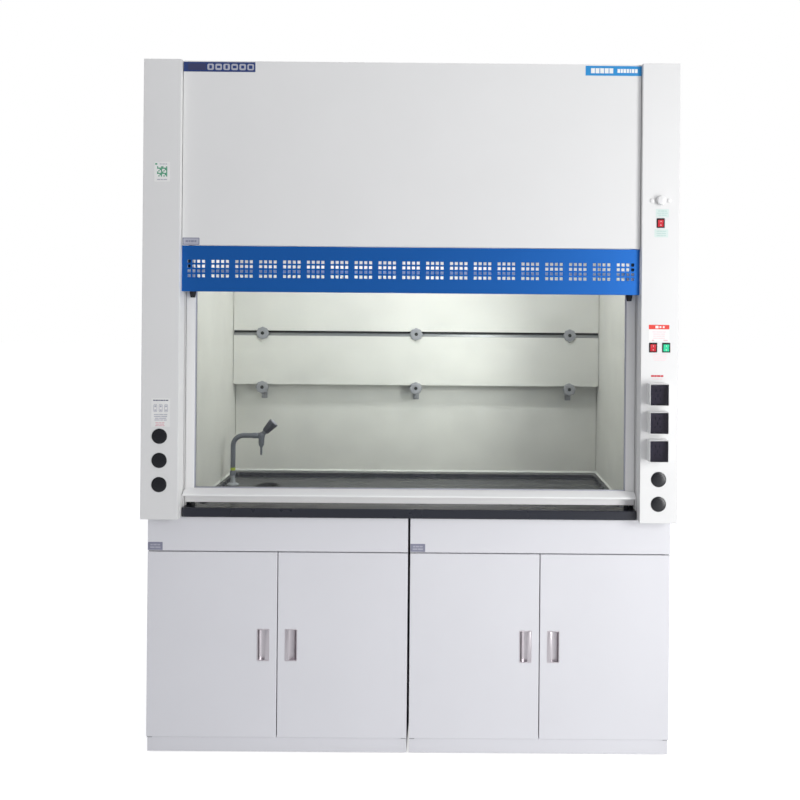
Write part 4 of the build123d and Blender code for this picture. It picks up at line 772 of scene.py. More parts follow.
# %% Knob, flange and colour ring
knob = bmesh.new()
knob_foot = hub + lean * 21 * MM
knob_profile = [(10, 0), (13.2, 0.6), (14, 2), (19.9, 46), (20.2, 48), (19, 50), (16, 50.6)]
knob_profile += [(15.6, 49.4), (3, 49.2)]
turned(knob, knob_profile, knob_foot, lean, sides=120, flutes=10, depth=1.6 * MM)
finish("tap_fluted_knob", knob, knob_abs, "tap_knob", ["tap_knob"], slot="tap_knob_plastic")
disc = bmesh.new()
turned(disc, [(14.8, 49), (14.8, 50.4), (13.6, 50.9), (4, 50.9)], knob_foot, lean)
finish("tap_knob_disc", disc, vinyl["pale_ink"], "tap_knob", slot="tap_knob_plastic")
flange = bmesh.new()
flange_profile = [(23.6, 0), (24, 1), (23.4, 3), (20, 5.4), (14.4, 8), (11.6, 10)]
flange_profile += [(10.2, 14), (9.4, 22), (8.4, 30), (8.4, 37.7)]
turned(flange, flange_profile, (tap.x, tap.y, floor_z), UP)
finish("tap_base_flange", flange, tap_flange_epoxy, "casing", ["tap_flange"], slot="tap_coat")
under = bmesh.new()
table_under = (tap.x, tap.y, worktop_low.z)
turned(under, [(10.5, -19), (10.5, 62)], table_under, DOWN, sides=32)
turned(under, [(16, 0), (18, 1.2), (18, 8.6), (16, 9.8)], table_under, DOWN, sides=6)
finish("tap_shank_and_nut", under, screw_steel, "casing", slot="tap_coat")
ring = bmesh.new()
ring_foot = (tap.x, tap.y, neck_low.z + 19 * MM)
turned(ring, [(9.4, 0), (9.75, 0.2), (9.75, 11), (9.4, 11.2)], ring_foot, UP)
finish("tap_colour_ring", ring, vinyl["lime"], "tap_neck", slot="tap_knob_plastic")

# %% [markdown]
# ## The drip cup
# The oval cup hangs in a hole in the worktop. It is one closed skin of ellipses: out over the flange, down
# the outside, and back up the inside, with a strainer at the bottom over the waste pipe.

# %% Cup sink
sink_low, sink_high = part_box("cup_sink")
sink_x, sink_y = (sink_low.x + sink_high.x) / 2, (sink_low.y + sink_high.y) / 2
half_w, half_l = (sink_high.x - sink_low.x) / 2, (sink_high.y - sink_low.y) / 2


def ellipse(inset, z, sides=72):
    """A level ring, inset in millimetres from the flange's edge."""
    turns = [2 * pi * i / sides for i in range(sides)]
    a, b = half_w - inset * MM, half_l - inset * MM
    return [Vector((sink_x + a * cos(turn), sink_y + b * sin(turn), z)) for turn in turns]


def circle(radius, z, sides=72):
    """A level ring with a radius in millimetres, for the round waste outlet."""
    turns = [2 * pi * i / sides for i in range(sides)]
    a = radius * MM
    return [Vector((sink_x + a * cos(turn), sink_y + a * sin(turn), z)) for turn in turns]


bottom_z = floor_z - 110 * MM
cup = bmesh.new()
skin = [circle(17, sink_low.z), circle(17.2, bottom_z + 3.2 * MM)]
skin += [ellipse(inset, bottom_z + rise * MM) for inset, rise in ((26, 3.6), (24.4, 4.6), (23.4, 8))]
skin += [
    ellipse(inset, floor_z + rise * MM)
    for inset, rise in ((12.4, -4), (11, 1.6), (8.6, 2.6), (1.4, 2.6), (0, 1.4), (0, 0), (9.5, 0))
]
skin += [ellipse(21, bottom_z), circle(20, bottom_z), circle(20, sink_low.z), circle(17, sink_low.z)]
bridge(cup, skin, closed_ends=False)
finish("drip_cup", cup, black_polypropylene, "casing", ["cup_sink"], slot="polypropylene")
strainer = bmesh.new()
strainer_foot = (sink_x, sink_y, bottom_z + 3.4 * MM)
turned(strainer, [(18.5, 0), (18.5, 1), (17, 1.6), (1, 1.2)], strainer_foot, UP)
finish("drip_cup_strainer", strainer, screw_steel, "casing", slot="galvanised")
# The strainer's eight holes are black discs set in its face: painted shade for the dark waste pipe below
# them.
strainer_hole_shade = bmesh.new()
for i in range(8):
    turn = 2 * pi * i / 8
    centre = Vector((sink_x + 10 * MM * cos(turn), sink_y + 10 * MM * sin(turn), bottom_z + 4.2 * MM))
    turned(strainer_hole_shade, [(2.2, 0), (2.2, 0.9)], centre, UP, sides=12)
finish("drip_cup_strainer_holes", strainer_hole_shade, black_rubber, "casing", slot="black_rubber")

# %% [markdown]
# ## Sealant
# The joints between worktop and lining are filled with white silicone, pulled into a hollow bead with a
# finger. A thin tube, half sunk into the corner, gives the bead, and small swellings along it keep it from
# looking machined.

# %% Sealant beads
baffle_low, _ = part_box("baffle_bottom")
liner_low, liner_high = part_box("liner_walls")
inner_x = liner_high.x - 6 * MM
bead = bmesh.new()
bead_z = worktop_high.z + 0.5 * MM
front_left, front_right = (Vector((x, liner_low.y + 2 * MM, bead_z)) for x in (-inner_x, inner_x))
back_left, back_right = (Vector((x, baffle_low.y, bead_z)) for x in (-inner_x, inner_x))
for start, end in ((front_left, back_left), (front_right, back_right), (back_left, back_right)):
    count = int((end - start).length / 0.012)
    swell = [Vector((0, 0, 0.35 * MM * sin(i * 1.7))) for i in range(count + 1)]
    tube(bead, [start.lerp(end, i / count) + swell[i] for i in range(count + 1)], 5.5 * MM, sides=10)
finish("worktop_sealant_bead", bead, white_silicone, "casing", slot="liner_board")

# %% [markdown]
# ## Baffle holders
# Six grey nylon knobs clamp the baffles. The front discs have shallow finger flutes and a black plug in the
# middle. The lower ones also have a foot with a thumb nut, which reaches back to the lower baffle.

# %% Holders
_, holders_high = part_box("baffle_holders")
middle_low, middle_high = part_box("baffle_middle")
holder_x = holders_high.x - 26 * MM
upper_z, lower_z = holders_high.z - 26 * MM, middle_low.z - 12.5 * MM
lower_baffle_y = baffle_low.y
holders, plugs = bmesh.new(), bmesh.new()
for x in (-holder_x, 0, holder_x):
    for z, reach in ((upper_z, holders_high.y), (lower_z, lower_baffle_y)):
        front = (x, middle_low.y - 10 * MM, z)
        plug_front = (x, front[1] - 0.4 * MM, z)
        profile = [(7, 0.4), (9, 0), (23, 0), (25.2, 0.9), (26, 2.6), (26, 8), (25, 9.6), (23, 10), (9, 10)]
        profile += [(9, (reach - front[1]) / MM)]
        turned(holders, profile, front, TO_BACK, sides=96, flutes=8, depth=2.4 * MM)
        turned(plugs, [(0.5, 0.6), (6.4, 0.3), (7.2, 0.8), (7.2, 3)], plug_front, TO_BACK, sides=24)
        if z == lower_z:
            foot_y = reach - 5 * MM
            block(holders, (x - 12 * MM, foot_y, z - 50 * MM), (x + 12 * MM, reach, z + 10 * MM), 1.5 * MM)
            nut = [(8, 0), (9, 1), (9, 12), (7.6, 14), (1, 14.4)]
            nut_at = (x, foot_y, z - 38 * MM)
            turned(holders, nut, nut_at, TO_FRONT, sides=40, flutes=8, depth=0.8 * MM)
finish("baffle_holder_knobs", holders, grey_nylon, "casing", ["baffle_holders"], slot="holder_plastic")
finish("baffle_holder_plugs", plugs, black_rubber, "casing", slot="black_plastic")
channel, shadow_strip = bmesh.new(), bmesh.new()
top_baffle_low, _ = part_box("baffle_top")
rail_low_z, rail_top_z, rail_y = middle_high.z - 8 * MM, middle_high.z + 12 * MM, middle_high.y + 1 * MM
ends = inner_x - 2 * MM
shade_strip_top = top_baffle_low.z + 8 * MM
block(channel, (-ends, rail_y, rail_low_z), (ends, rail_y + 2 * MM, rail_top_z), 0.6 * MM)
block(channel, (-ends, rail_y, rail_top_z - 2.4 * MM), (ends, rail_y + 9 * MM, rail_top_z), 0.6 * MM)
# The black strip is painted shade: it fills the slot between the middle and upper baffles, where the gap is
# only dark.
block(shadow_strip, (-ends, rail_y + 7 * MM, rail_low_z), (ends, rail_y + 9 * MM, shade_strip_top), 0.4 * MM)
finish("baffle_slot_seal", shadow_strip, black_rubber, "casing", slot="black_rubber")
finish("baffle_slot_rail", channel, zinc_plate, "casing", slot="galvanised")

# %% [markdown]
# ## Switches
# Each rocker switch is a black bezel with a coloured polycarbonate rocker that is tipped one way. The
# rocker's section is a shallow V, so it is drawn as an outline and stretched along X, like the sash rail,
# then tilted about its pivot. Two pale marks, a bar and a ring, are the usual signs for on and off.

# %% Bezels and rockers
column_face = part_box("column_right")[0].y
bezels = bmesh.new()
for name, colour in (("rocker_lamp", red_rocker), ("rocker_fan", red_rocker), ("rocker_power", green_rocker)):
    low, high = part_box(name)
    pivot = joint(name + "_tip")["pos_m"]
    x, z = pivot[0], pivot[2]
    bezel = [(27, 32.5, 1.5, 0), (27, 32.5, 1.5, -1.4), (26, 31.5, 1.2, -2), (21.4, 26.9, 0.8, -2)]
    bezel += [(20.4, 25.9, 0.5, -1.2), (20.4, 25.9, 0.5, 12)]
    stack(bezels, x, z, column_face, bezel)
    half = (high.x - low.x) / 2
    section = [(-7.3, -11.6), (-7.5, -11.2), (-6.2, -5), (-5.5, 0), (-6.2, 5), (-7.5, 11.2), (-7.3, 11.6)]
    section += [(-1, 11.6), (3.5, 4), (3.5, -4), (-1, -11.6)]
    tilt = radians(8)
    rocker = bmesh.new()
    turn = [(y * cos(tilt) - h * sin(tilt), y * sin(tilt) + h * cos(tilt)) for y, h in section]
    rail(rocker, [(pivot[1] + y * MM, z + h * MM) for y, h in turn], x - half, x + half, 0.35 * MM)
    plastic = "green_plastic" if colour is green_rocker else "red_plastic"
    finish(name + "_paddle", rocker, colour, name, [name], corner=25, slot=plastic)
    marks = bmesh.new()
    for y, h, w, tall in ((-6.9, 6.6, 1.2, 4.4), (-6.9, -6.6, 4.2, 4.2)):
        yy, hh = y * cos(tilt) - h * sin(tilt), y * sin(tilt) + h * cos(tilt)
        if w < 2:
            bar_low = (x - w / 2 * MM, pivot[1] + (yy - 0.25) * MM, z + (hh - tall / 2) * MM)
            bar_high = (x + w / 2 * MM, pivot[1] + (yy + 0.9) * MM, z + (hh + tall / 2) * MM)
            block(marks, bar_low, bar_high, 0.2 * MM)
        else:
            along = Vector((0, -cos(tilt + 0.11), -sin(tilt + 0.11)))
            centre = Vector((x, pivot[1] + (yy + 0.5) * MM, z + hh * MM))
            ring_path = [(2.1, 0), (2.1, 0.75), (1.3, 0.75), (1.3, 0)]
            turned(marks, ring_path, centre, along, sides=28)
    finish(name + "_marks", marks, vinyl["pink"], name, slot="white_plastic")
finish("switch_bezels", bezels, black_abs, "casing", ["control_bezels"], slot="black_plastic")

# %% [markdown]
# ## The fan speed knob
# A round knob with a fine grip all round and a raised pointer sits between two caps that hide its fixing
# screws.

# %% Fan speed knob
speed_low, speed_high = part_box("speed_knob")
knob_x, knob_z = (speed_low.x + speed_high.x) / 2, (speed_low.z + speed_high.z) / 2
speed = bmesh.new()
profile = [(5, 0), (16, 0), (16.5, 0.6), (16.5, 3), (15.2, 4.2)]
profile += [(14.9, 15.5), (14, 17.3), (12.4, 18), (1, 18)]
knob_foot = (knob_x, column_face - 1.5 * MM, knob_z)
turned(speed, profile, knob_foot, TO_FRONT, sides=144, flutes=24, depth=0.7 * MM)
pointer_low = (knob_x - 1.1 * MM, column_face - 20.4 * MM, knob_z + 2 * MM)
pointer_high = (knob_x + 1.1 * MM, column_face - 19 * MM, knob_z + 12.5 * MM)
block(speed, pointer_low, pointer_high, 0.4 * MM)
finish("fan_speed_knob", speed, white_abs, "speed_knob", ["speed_knob"], slot="white_plastic")
caps = bmesh.new()
turned(caps, [(8, 0), (8, 1), (3.1, 1.1)], (knob_x, column_face - 0.05 * MM, knob_z), TO_FRONT)
for side in (-1, 1):
    profile = [(7.5, 0), (7.5, 2.2), (6.9, 3.8), (5.4, 4.7), (3, 5), (0.4, 5)]
    turned(caps, profile, (knob_x + side * 29 * MM, column_face, knob_z), TO_FRONT)
finish("fan_speed_fixing_caps", caps, white_abs, "casing", slot="white_plastic")

# %% [markdown]
# ## Splash-proof sockets
# The three socket boxes are white mouldings with a smoked flip cover. The box is a stack of rounded
# outlines that turns inwards at the rim. The socket face sits 26 mm down, with its five pin holes, each
# drawn as a black block in the face: painted shade for the dark inside the hole. The cover is a thin plate
# with a raised border and a finger tab.

# %% Socket boxes and covers
boxes_low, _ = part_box("socket_boxes")
rim_y = boxes_low.y
socket_depth = (column_face - rim_y) / MM
pin_layout = ((-7, 13, 0, 8), (7, 13, 0, 8), (0, -4, 0, 9), (-8, -15, 30, 8), (8, -15, -30, 8))
boxes, pin_slot_shade = bmesh.new(), bmesh.new()
for word in ("top", "middle", "bottom"):
    low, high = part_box(f"socket_cover_{word}")
    x = (low.x + high.x) / 2
    z = low.z - 2.3 * MM + 37 * MM
    box = [(64, 74, 3, socket_depth), (64, 74, 3, 1.4), (63.4, 73.4, 2.8, 0.4), (62.6, 72.6, 2.4, 0)]
    box += [(60.8, 70.8, 1.6, 0), (60, 70, 1.2, 0.6), (60, 70, 1.2, 26)]
    stack(boxes, x, z, rim_y, box)
    stack(boxes, x, z, rim_y, [(50, 56, 5, 26), (50, 56, 5, 25), (48.6, 54.6, 4.4, 24.4)])
    for dx, dz, angle, tall in pin_layout:
        spin = Matrix.Rotation(radians(angle), 3, "Y")
        signs = ((1, 1), (-1, 1), (-1, -1), (1, -1))
        slot_corners = [(sx * 1.2 * MM, sz * tall / 2 * MM) for sx, sz in signs]
        slot_ring = [
            [Vector((x + dx * MM, y, z + dz * MM)) + spin @ Vector((px, 0, pz)) for px, pz in slot_corners]
            for y in (rim_y + 24.3 * MM, rim_y + 25.5 * MM)
        ]
        bridge(pin_slot_shade, slot_ring)
    cover = bmesh.new()
    top = high.z - 0.4 * MM
    ch = (top - low.z) / MM
    plate = [(59.4, ch, 1.6, 4.4), (59.4, ch, 1.6, 1.2), (58.4, ch - 1, 1.4, 0.6)]
    plate += [(52.4, ch - 7, 1.4, 0.6), (51, ch - 8.4, 1.4, 1.6)]
    stack(cover, x, (low.z + top) / 2, rim_y, plate)
    tab_low = (x - 9 * MM, rim_y + 4.4 * MM, low.z + 1 * MM)
    tab_high = (x + 9 * MM, rim_y + 9.4 * MM, low.z + 3 * MM)
    block(cover, tab_low, tab_high, 0.6 * MM)
    body = f"socket_cover_{word}"
    finish(body + "_smoked", cover, smoked_cover, body, [body], slot="smoked_plastic")
finish("socket_box_mouldings", boxes, white_abs, "casing", ["socket_boxes"], slot="white_plastic")
# The black pin blocks are painted shade: they stand for the dark inside the socket's pin holes.
finish("socket_pin_slots", pin_slot_shade, black_abs, "casing", slot="black_plastic")

# %% [markdown]
# ## Blanking plugs
# Holes for gas and water valves that this hood doesn't have are closed with black domed plugs. Each is
# turned, with a shallow groove round the dome where the mould parts.

# %% Service plugs
_, plugs_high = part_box("service_plugs")
plug_radius = 25.5 * MM
centres = []
for side in (-1, 1):
    heights = sorted(v.co.z for v in nodes["service_plugs"].data.vertices if v.co.x * side > 0)
    for z in heights:
        if not centres or centres[-1][0] * side < 0 or z > centres[-1][1] + plug_radius:
            centres.append((side * (plugs_high.x - plug_radius), z + plug_radius))
domes = bmesh.new()
for x, z in centres:
    profile = [(25.5, 0), (25.5, 1.1), (24.9, 1.9), (23.4, 2.4), (22.6, 2.3)]
    profile += [(22.2, 2.45), (17, 3.1), (10, 3.4), (0.4, 3.5)]
    turned(domes, profile, (x, column_face, z), TO_FRONT, sides=72)
finish("service_hole_plugs", domes, black_abs, "casing", ["service_plugs"], slot="black_plastic")
print("plug centres:", [(round(x, 3), round(z, 3)) for x, z in centres])

# %% [markdown]
# ## Stickers and plates
# Thin vinyl plates carry the signs. Each is a rounded plate a third of a millimetre thick, and rows of
# small blocks take the place of words.

# %% Labels
sticker_meshes = {}


def sticker(colour, x, z, width, height, face, thick=0.3, radius=1.0):
    """One plate of a colour, standing off a front-facing surface."""
    mesh = sticker_meshes.setdefault(colour, bmesh.new())
    size = [value * MM for value in (x, z, width, height)]
    rings = [rounded(*size, radius * MM, face), rounded(*size, radius * MM, face - thick * MM)]
    bridge(mesh, rings)


def words(colour, x, z, lengths, height, face, thick=0.45, gap=1.6):
    """A row of blocks centred on x, as long as the words they stand for."""
    cursor = x - (sum(lengths) + gap * (len(lengths) - 1)) / 2
    for length in lengths:
        sticker(colour, cursor + length / 2, z, length, height, face, thick, 0.3)
        cursor += length + gap


print("sticker tools ready")

# %% [markdown]
# ## Signs on the right column
# Each control has a pale sign over or under it. Heights are measured from the lamp's rocker, and all the
# signs move with it.

# %% Signs on the right column
lift = (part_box("rocker_lamp")[0].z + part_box("rocker_lamp")[1].z) / 2 / MM - 1824
col = column_face
sticker("mint", 843, 1858 + lift, 44, 28, col)
words("mint_dark", 843, 1865 + lift, (8, 12, 6), 4, col)
words("mint_dark", 843, 1858 + lift, (14, 9, 9), 3, col)
words("mint_dark", 843, 1851 + lift, (10, 16), 3, col)
sticker("mint", 840, 1790.5 + lift, 46, 27, col)
words("mint_dark", 840, 1797 + lift, (9, 7, 12), 3, col)
words("mint_dark", 840, 1790 + lift, (16, 14), 3, col)
words("mint_dark", 840, 1783 + lift, (11, 8, 8), 3, col)
sticker("white", 835, 1455 + lift, 69, 56, col)
sticker("red", 835, 1475.5 + lift, 69, 15, col, 0.4)
words("white", 828, 1475.5 + lift, (10,), 9, col, 0.55)
words("white", 845, 1475.5 + lift, (6, 6), 6, col, 0.55, 5)
for row, lengths in enumerate(((12, 20, 10), (24, 14), (9, 18, 9), (16, 22))):
    words("pink", 835, 1459 - row * 7 + lift, lengths, 3, col)
words("pink_dark", 815, 1431 + lift, (8,), 3.4, col)
words("pink_dark", 857, 1431 + lift, (14,), 3.4, col)
for row, lengths in enumerate(((22, 26), (14, 30), (30, 14), (20, 18))):
    words("pink", 838, 1384 - row * 6.4 + lift, lengths, 3, col, 0.3)
words("crimson", 830, 1311 + lift, (10, 8, 12, 9), 6, col, 0.3, 0.8)
words("pink", 830, 1301 + lift, (12, 10, 8), 3, col, 0.3)
print("right column:", sorted(sticker_meshes))

# %% [markdown]
# ## Signs on the left column
# A white sheet of instructions hangs over the blanking plugs. Higher up is a square green code pattern.

# %% Signs on the left column
sticker("white", -834, 1175 + lift, 62, 96, col)
words("ink", -834, 1216 + lift, (6, 8, 5, 9, 6, 8), 3.5, col)
for i in range(3):
    sticker("pale_ink", -852 + i * 18, 1190 + lift, 12, 26, col, 0.45, 4)
    sticker("white", -852 + i * 18, 1190 + lift, 9, 23, col, 0.55, 3)
    sticker("silver", -852 + i * 18, 1196 + lift, 6, 6, col, 0.65, 2)
    sticker("pale_ink", -852 + i * 18, 1183 + lift, 6, 4, col, 0.65, 1)
for row, lengths in enumerate(((16, 14, 12), (22, 20), (12, 24), (18, 10, 10))):
    words("pale_ink", -834, 1168 - row * 6 + lift, lengths, 2.6, col)
for row, lengths in enumerate(((10, 8, 9), (12, 14), (9, 12, 7))):
    words("pink_dark", -836, 1141 - row * 5 + lift, lengths, 2.4, col)
sticker("white", -836, 1982 + lift, 52, 66, col, 0.3, 2)
sticker("green", -856, 2008 + lift, 7, 5, col, 0.45, 1)
words("pale_ink", -832, 2008 + lift, (7, 9, 6), 2.6, col)
for row in range(8):
    for column in range(8):
        if (row * 5 + column * 3 + row * column) % 4 < 2:
            sticker("green", -851 + column * 4.3, 1998 - row * 4.3 + lift, 3.9, 3.9, col, 0.45, 0.2)
words("pale_ink", -836, 1956 + lift, (10, 8, 12), 3, col)
print("both columns:", sorted(sticker_meshes))

# %% [markdown]
# ## Plates
# The cover has a dark plate with round signs on the left, a pale blue one on the right and a small one at
# its bottom corner. Each cupboard has a small plate on its apron.

# %% Plates on the cover and the cupboards
cover_low, cover_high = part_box("front_cover")
face, top = cover_low.y, cover_high.z / MM
sticker("navy", -652, top - 20, 242, 33, face)
sticker("ink", -728, top - 20, 60, 22, face, 0.5)
for i in range(6):
    sticker("silver", -682 + i * 27, top - 20, 22, 21, face, 0.5, 5)
    width, height = ((9, 12), (12, 8), (8, 13), (13, 9), (10, 10), (12, 12))[i]
    sticker("navy", -682 + i * 27, top - 20, width, height, face, 0.65, 2.5)
sticker("sky", 679, top - 21, 190, 33, face)
words("white", 640, top - 21, (13, 13, 13, 13, 13), 17, face, 0.5, 2.5)
words("white", 726, top - 21, (9, 7, 9, 8, 5, 9, 9), 13, face, 0.5, 2)
bottom = cover_low.z / MM
sticker("grey", -743, bottom + 13, 57, 24, face, 0.4, 2.5)
sticker("silver", -743, bottom + 13, 51, 18, face, 0.6, 2)
words("grey", -743, bottom + 13, (9, 6, 10, 7), 7, face, 0.75)
aprons_low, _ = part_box("cabinet_aprons")
for left_edge in (aprons_low.x / MM, 4.0):
    sticker("grey", left_edge + 26, aprons_low.z / MM + 15.5, 50, 27, aprons_low.y, 0.4, 0.8)
    words("pale_ink", left_edge + 26, aprons_low.z / MM + 20, (8, 12, 10), 5, aprons_low.y, 0.55)
    words("silver", left_edge + 26, aprons_low.z / MM + 11, (16, 18), 5, aprons_low.y, 0.55)
for colour, mesh in sticker_meshes.items():
    finish(f"sticker_{colour}", mesh, vinyl[colour], "casing", slot="white_plastic")

# %% [markdown]
# ## Sash cables
# A thin steel cable runs from each side of the sash up over a pulley and down to a balance weight. The run
# on the sash's side shortens as the sash rises, and the run on the weight's side grows longer; only the half
# turn over the pulley never moves. Here each run is drawn as one straight tube and the half turn as an arc,
# with a steel ferrule at the cable's end on the sash.

# %% Cables and their end fittings
cable_low, cable_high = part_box("sash_cables")
axle_z = joint("pulley_left_turn")["pos_m"][2]
front_y, rear_y, lug_z = cable_low.y + 1.5 * MM, cable_high.y - 1.5 * MM, cable_low.z
for word, side in (("left", -1), ("right", 1)):
    x = side * (cable_high.x - 1.5 * MM)
    _, weight_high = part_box(f"counterweight_{word}")
    eye_z = weight_high.z
    sash_run = bmesh.new()
    tube(sash_run, [(x, front_y, lug_z + (axle_z - lug_z) * i / 60) for i in range(61)], 1.5 * MM, sides=12)
    cable = f"sash_cable_{word}"
    sash_run = finish(cable + "_front", sash_run, steel_strand, "casing", ["sash_cables"], slot="cable_steel")
    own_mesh(sash_run)
    over = bmesh.new()
    middle, reach = (front_y + rear_y) / 2, (rear_y - front_y) / 2
    turns = [pi * i / 32 for i in range(33)]
    tube(over, [(x, middle - reach * cos(t), axle_z + reach * sin(t)) for t in turns], 1.5 * MM, sides=12)
    finish(f"sash_cable_{word}_over_pulley", over, steel_strand, "casing", slot="cable_steel")
    weight_run = bmesh.new()
    tube(weight_run, [(x, rear_y, axle_z + (eye_z - axle_z) * i / 60) for i in range(61)], 1.5 * MM, sides=12)
    weight_run = finish(f"sash_cable_{word}_rear", weight_run, steel_strand, None, slot="cable_steel")
    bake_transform(weight_run)
    ferrule = bmesh.new()
    turned(ferrule, [(2.4, 0), (3.2, 0.6), (3.2, 17), (2.2, 18)], (x, front_y, lug_z), UP, sides=24)
    finish(f"sash_cable_{word}_ferrule", ferrule, screw_steel, "sash", slot="cable_steel")

# %% [markdown]
# ## Exhaust spigot, roof and wall screws
# The spigot is a welded polypropylene tube with a flange on the roof and a bead near its rim that keeps the
# duct's clamp from slipping. Pan-head screws hold the flange and the roof panels.

# %% Spigot and screws
spigot_low, spigot_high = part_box("exhaust_spigot")
roof_low, roof_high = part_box("roof_panel")
spigot_x, spigot_y = (spigot_low.x + spigot_high.x) / 2, (spigot_low.y + spigot_high.y) / 2
base, rim_top = roof_high.z, spigot_high.z
ceiling_z = spigot_low.z
spigot = bmesh.new()
tube_profile = [(121, ceiling_z), (125, ceiling_z), (125, base)]
flange_steps = ((154.5, 0), (155, 0.5), (155, 5.5), (154, 6), (128, 6), (125.6, 7.5), (125, 10))
tube_profile += [(r, base + rise * MM) for r, rise in flange_steps]
rim_steps = ((125, 16), (124.9, 2), (123, 0), (121.6, 0.4), (121, 1.2))
tube_profile += [(r, rim_top - drop * MM) for r, drop in rim_steps]
tube_profile += [(121, ceiling_z + 1e-5)]
turns = [2 * pi * i / 128 for i in range(128)]
turned_rings = [
    [Vector((spigot_x + r * MM * cos(t), spigot_y + r * MM * sin(t), z)) for t in turns]
    for r, z in tube_profile
]
bridge(spigot, turned_rings, closed_ends=False)
bmesh.ops.remove_doubles(spigot, verts=spigot.verts, dist=2e-5)
finish("exhaust_spigot_tube", spigot, grey_polypropylene, "casing", ["exhaust_spigot"], slot="polypropylene")

screws = bmesh.new()


def screw(at, out):
    """A low pan-head screw with a cross slot's shadow left as a shallow dish."""
    profile = [(4.2, 0), (4.2, 0.5), (3.6, 1.0), (2.2, 1.15), (1.4, 0.6), (0.3, 0.55)]
    turned(screws, profile, at, out, sides=20)


for i in range(12):
    turn = 2 * pi * (i + 0.5) / 12
    screw((spigot_x + 141 * MM * cos(turn), spigot_y + 141 * MM * sin(turn), base + 6 * MM), (0, 0, 1))
for i in range(9):
    x = roof_low.x + 30 * MM + (roof_high.x - roof_low.x - 60 * MM) * i / 8
    for y in (roof_low.y + 12 * MM, roof_high.y - 12 * MM):
        screw((x, y, roof_high.z), (0, 0, 1))
finish("roof_screws", screws, screw_steel, "casing", slot="galvanised")

# %% [markdown]
# ## Floor
# The hood stands on a plain pale floor. To the eye the floor glows a little, as white paper does that has
# lamps of its own, but that glow throws no light on the hood.

# %% Floor
floor = bmesh.new()
bmesh.ops.create_grid(floor, x_segments=1, y_segments=1, size=30)
floor_data = bpy.data.meshes.new("studio_floor")
floor.to_mesh(floor_data)
studio_floor = bpy.data.objects.new("studio_floor", floor_data)
bpy.context.scene.collection.objects.link(studio_floor)
material, tree, output, metres = blank("studio_floor_paint")
cloud = add(tree, "ShaderNodeTexNoise", {"Scale": 1 / 0.5}, {"Vector": metres})
tone = add(
    tree, "ShaderNodeMix", {"A": linear("f4f4f4"), "B": linear("f7f7f7")},
    {"Factor": cloud.outputs["Fac"]}, data_type="RGBA",
)
paint = add(tree, "ShaderNodeBsdfPrincipled", {"Roughness": 0.9}, {"Base Color": tone.outputs["Result"]})
glow = add(tree, "ShaderNodeEmission", {"Color": linear("d6d6d6")})
tree.links.new(add(tree, "ShaderNodeLightPath").outputs["Is Camera Ray"], glow.inputs["Strength"])
lit = add(tree, "ShaderNodeAddShader")
tree.links.new(paint.outputs["BSDF"], lit.inputs[0])
tree.links.new(glow.outputs["Emission"], lit.inputs[1])
tree.links.new(lit.outputs["Shader"], output.inputs["Surface"])
floor_data.materials.append(material)
studio_floor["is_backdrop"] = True
print("floor", studio_floor.name, "in", material.name)

# %% [markdown]
# ## Sky
# The studio is white all round. The eye sees it at full white, and the hood is lit by less than half of
# that, so that its own pale coats still stand out.

# %% Sky
world = bpy.data.worlds.new("studio_sky")
bpy.context.scene.world = world
world.use_nodes = True
sky = world.node_tree
sky.nodes.clear()
backdrop = add(sky, "ShaderNodeBackground", {"Color": (1.0, 1.0, 1.0, 1.0), "Strength": 1.0})
room = add(sky, "ShaderNodeBackground", {"Color": linear("f8f9ff"), "Strength": 0.4})
by_eye = add(sky, "ShaderNodeLightPath").outputs["Is Camera Ray"]
seen = add(sky, "ShaderNodeMixShader", None, {"Fac": by_eye})
sky.links.new(room.outputs["Background"], seen.inputs[1])
sky.links.new(backdrop.outputs["Background"], seen.inputs[2])
sky.links.new(seen.outputs["Shader"], add(sky, "ShaderNodeOutputWorld").inputs["Surface"])
bpy.context.scene.view_settings.view_transform = "Standard"
print("sky", world.name)

# %% [markdown]
# ## Lights
# A big soft light at the right front makes the light fall off from right to left. A second one hangs above
# the front. A long one shines down in the chamber under its lamp window, and a small one inside the chamber
# lifts its left wall.

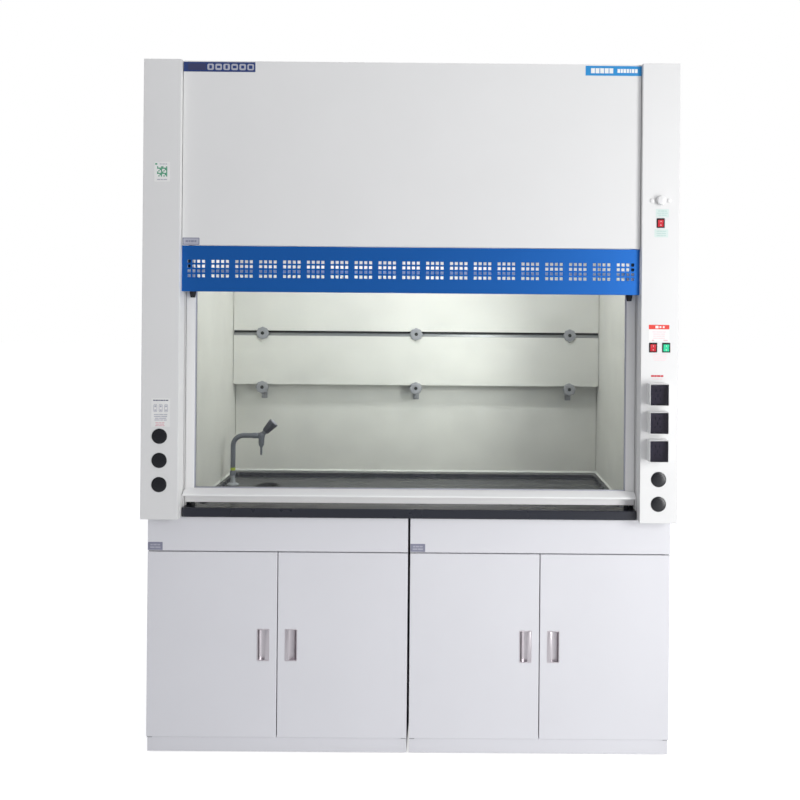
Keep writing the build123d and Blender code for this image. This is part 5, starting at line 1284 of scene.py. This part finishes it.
# %% Lights
def soft_light(name, place, target, size, power, colour="ffffff"):
    """A rectangular lamp that faces its target."""
    data = bpy.data.lights.new(name, "AREA")
    data.shape, data.size, data.size_y = "RECTANGLE", size[0], size[1]
    data.energy, data.color = power, linear(colour)[:3]
    lamp = bpy.data.objects.new(name, data)
    lamp.location = place
    lamp.rotation_euler = (Vector(target) - Vector(place)).to_track_quat("-Z", "Y").to_euler()
    lamp.visible_camera = False
    bpy.context.scene.collection.objects.link(lamp)


soft_light("key_softbox", (2.7, -3.3, 1.4), (-0.1, -0.2, 1.2), (1.4, 2.6), 95)
soft_light("top_softbox", (0.1, -0.9, 4.4), (0, -0.5, 0.9), (2.6, 0.7), 22)
lamp_low, lamp_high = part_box("lamp_window")
lamp_y = (lamp_low.y + lamp_high.y) / 2
soft_light("chamber_lamp", (0, lamp_y, lamp_low.z - 8 * MM), (0, lamp_y, 1.0), (1.1, 0.09), 6)
soft_light("chamber_fill", (0.35, -0.2, 1.45), (-0.7, 0.2, 0.95), (0.12, 0.12), 1.5)
print("four soft lights")

# %% [markdown]
# ## Camera
# The camera stands a little right of the middle, at eye height. The lens is shifted instead of tilted, so
# that the uprights stay upright.

# %% Camera
camera_data = bpy.data.cameras.new("camera")
camera = bpy.data.objects.new("camera", camera_data)
bpy.context.scene.collection.objects.link(camera)
bpy.context.scene.camera = camera
camera_data.sensor_width = 36.0
yaw, pitch, roll = radians(0.19), radians(-0.065), radians(0.49)
camera_data.lens, camera_data.shift_x, camera_data.shift_y = 40.19, -0.0572, -0.1182
camera.location = (0.1083, -3.3991, 1.538)
look = Vector((sin(yaw) * cos(pitch), cos(yaw) * cos(pitch), -sin(pitch)))
right = Vector((cos(yaw), -sin(yaw), 0))
up = right.cross(look)
right, up = right * cos(roll) + up * sin(roll), up * cos(roll) - right * sin(roll)
camera.matrix_world = Matrix.Translation(camera.location) @ Matrix((right, up, -look)).transposed().to_4x4()
print("camera", [round(c, 3) for c in camera.location], "lens", round(camera_data.lens, 2), "mm")

# %% [markdown]
# ## Size
# The finished model has to stay inside the CAD model's box, because other parts are fitted to it. The box
# of everything drawn is printed.

# %% Sizes
low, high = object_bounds()
print("visual box", [round(c, 4) for c in low], [round(c, 4) for c in high])
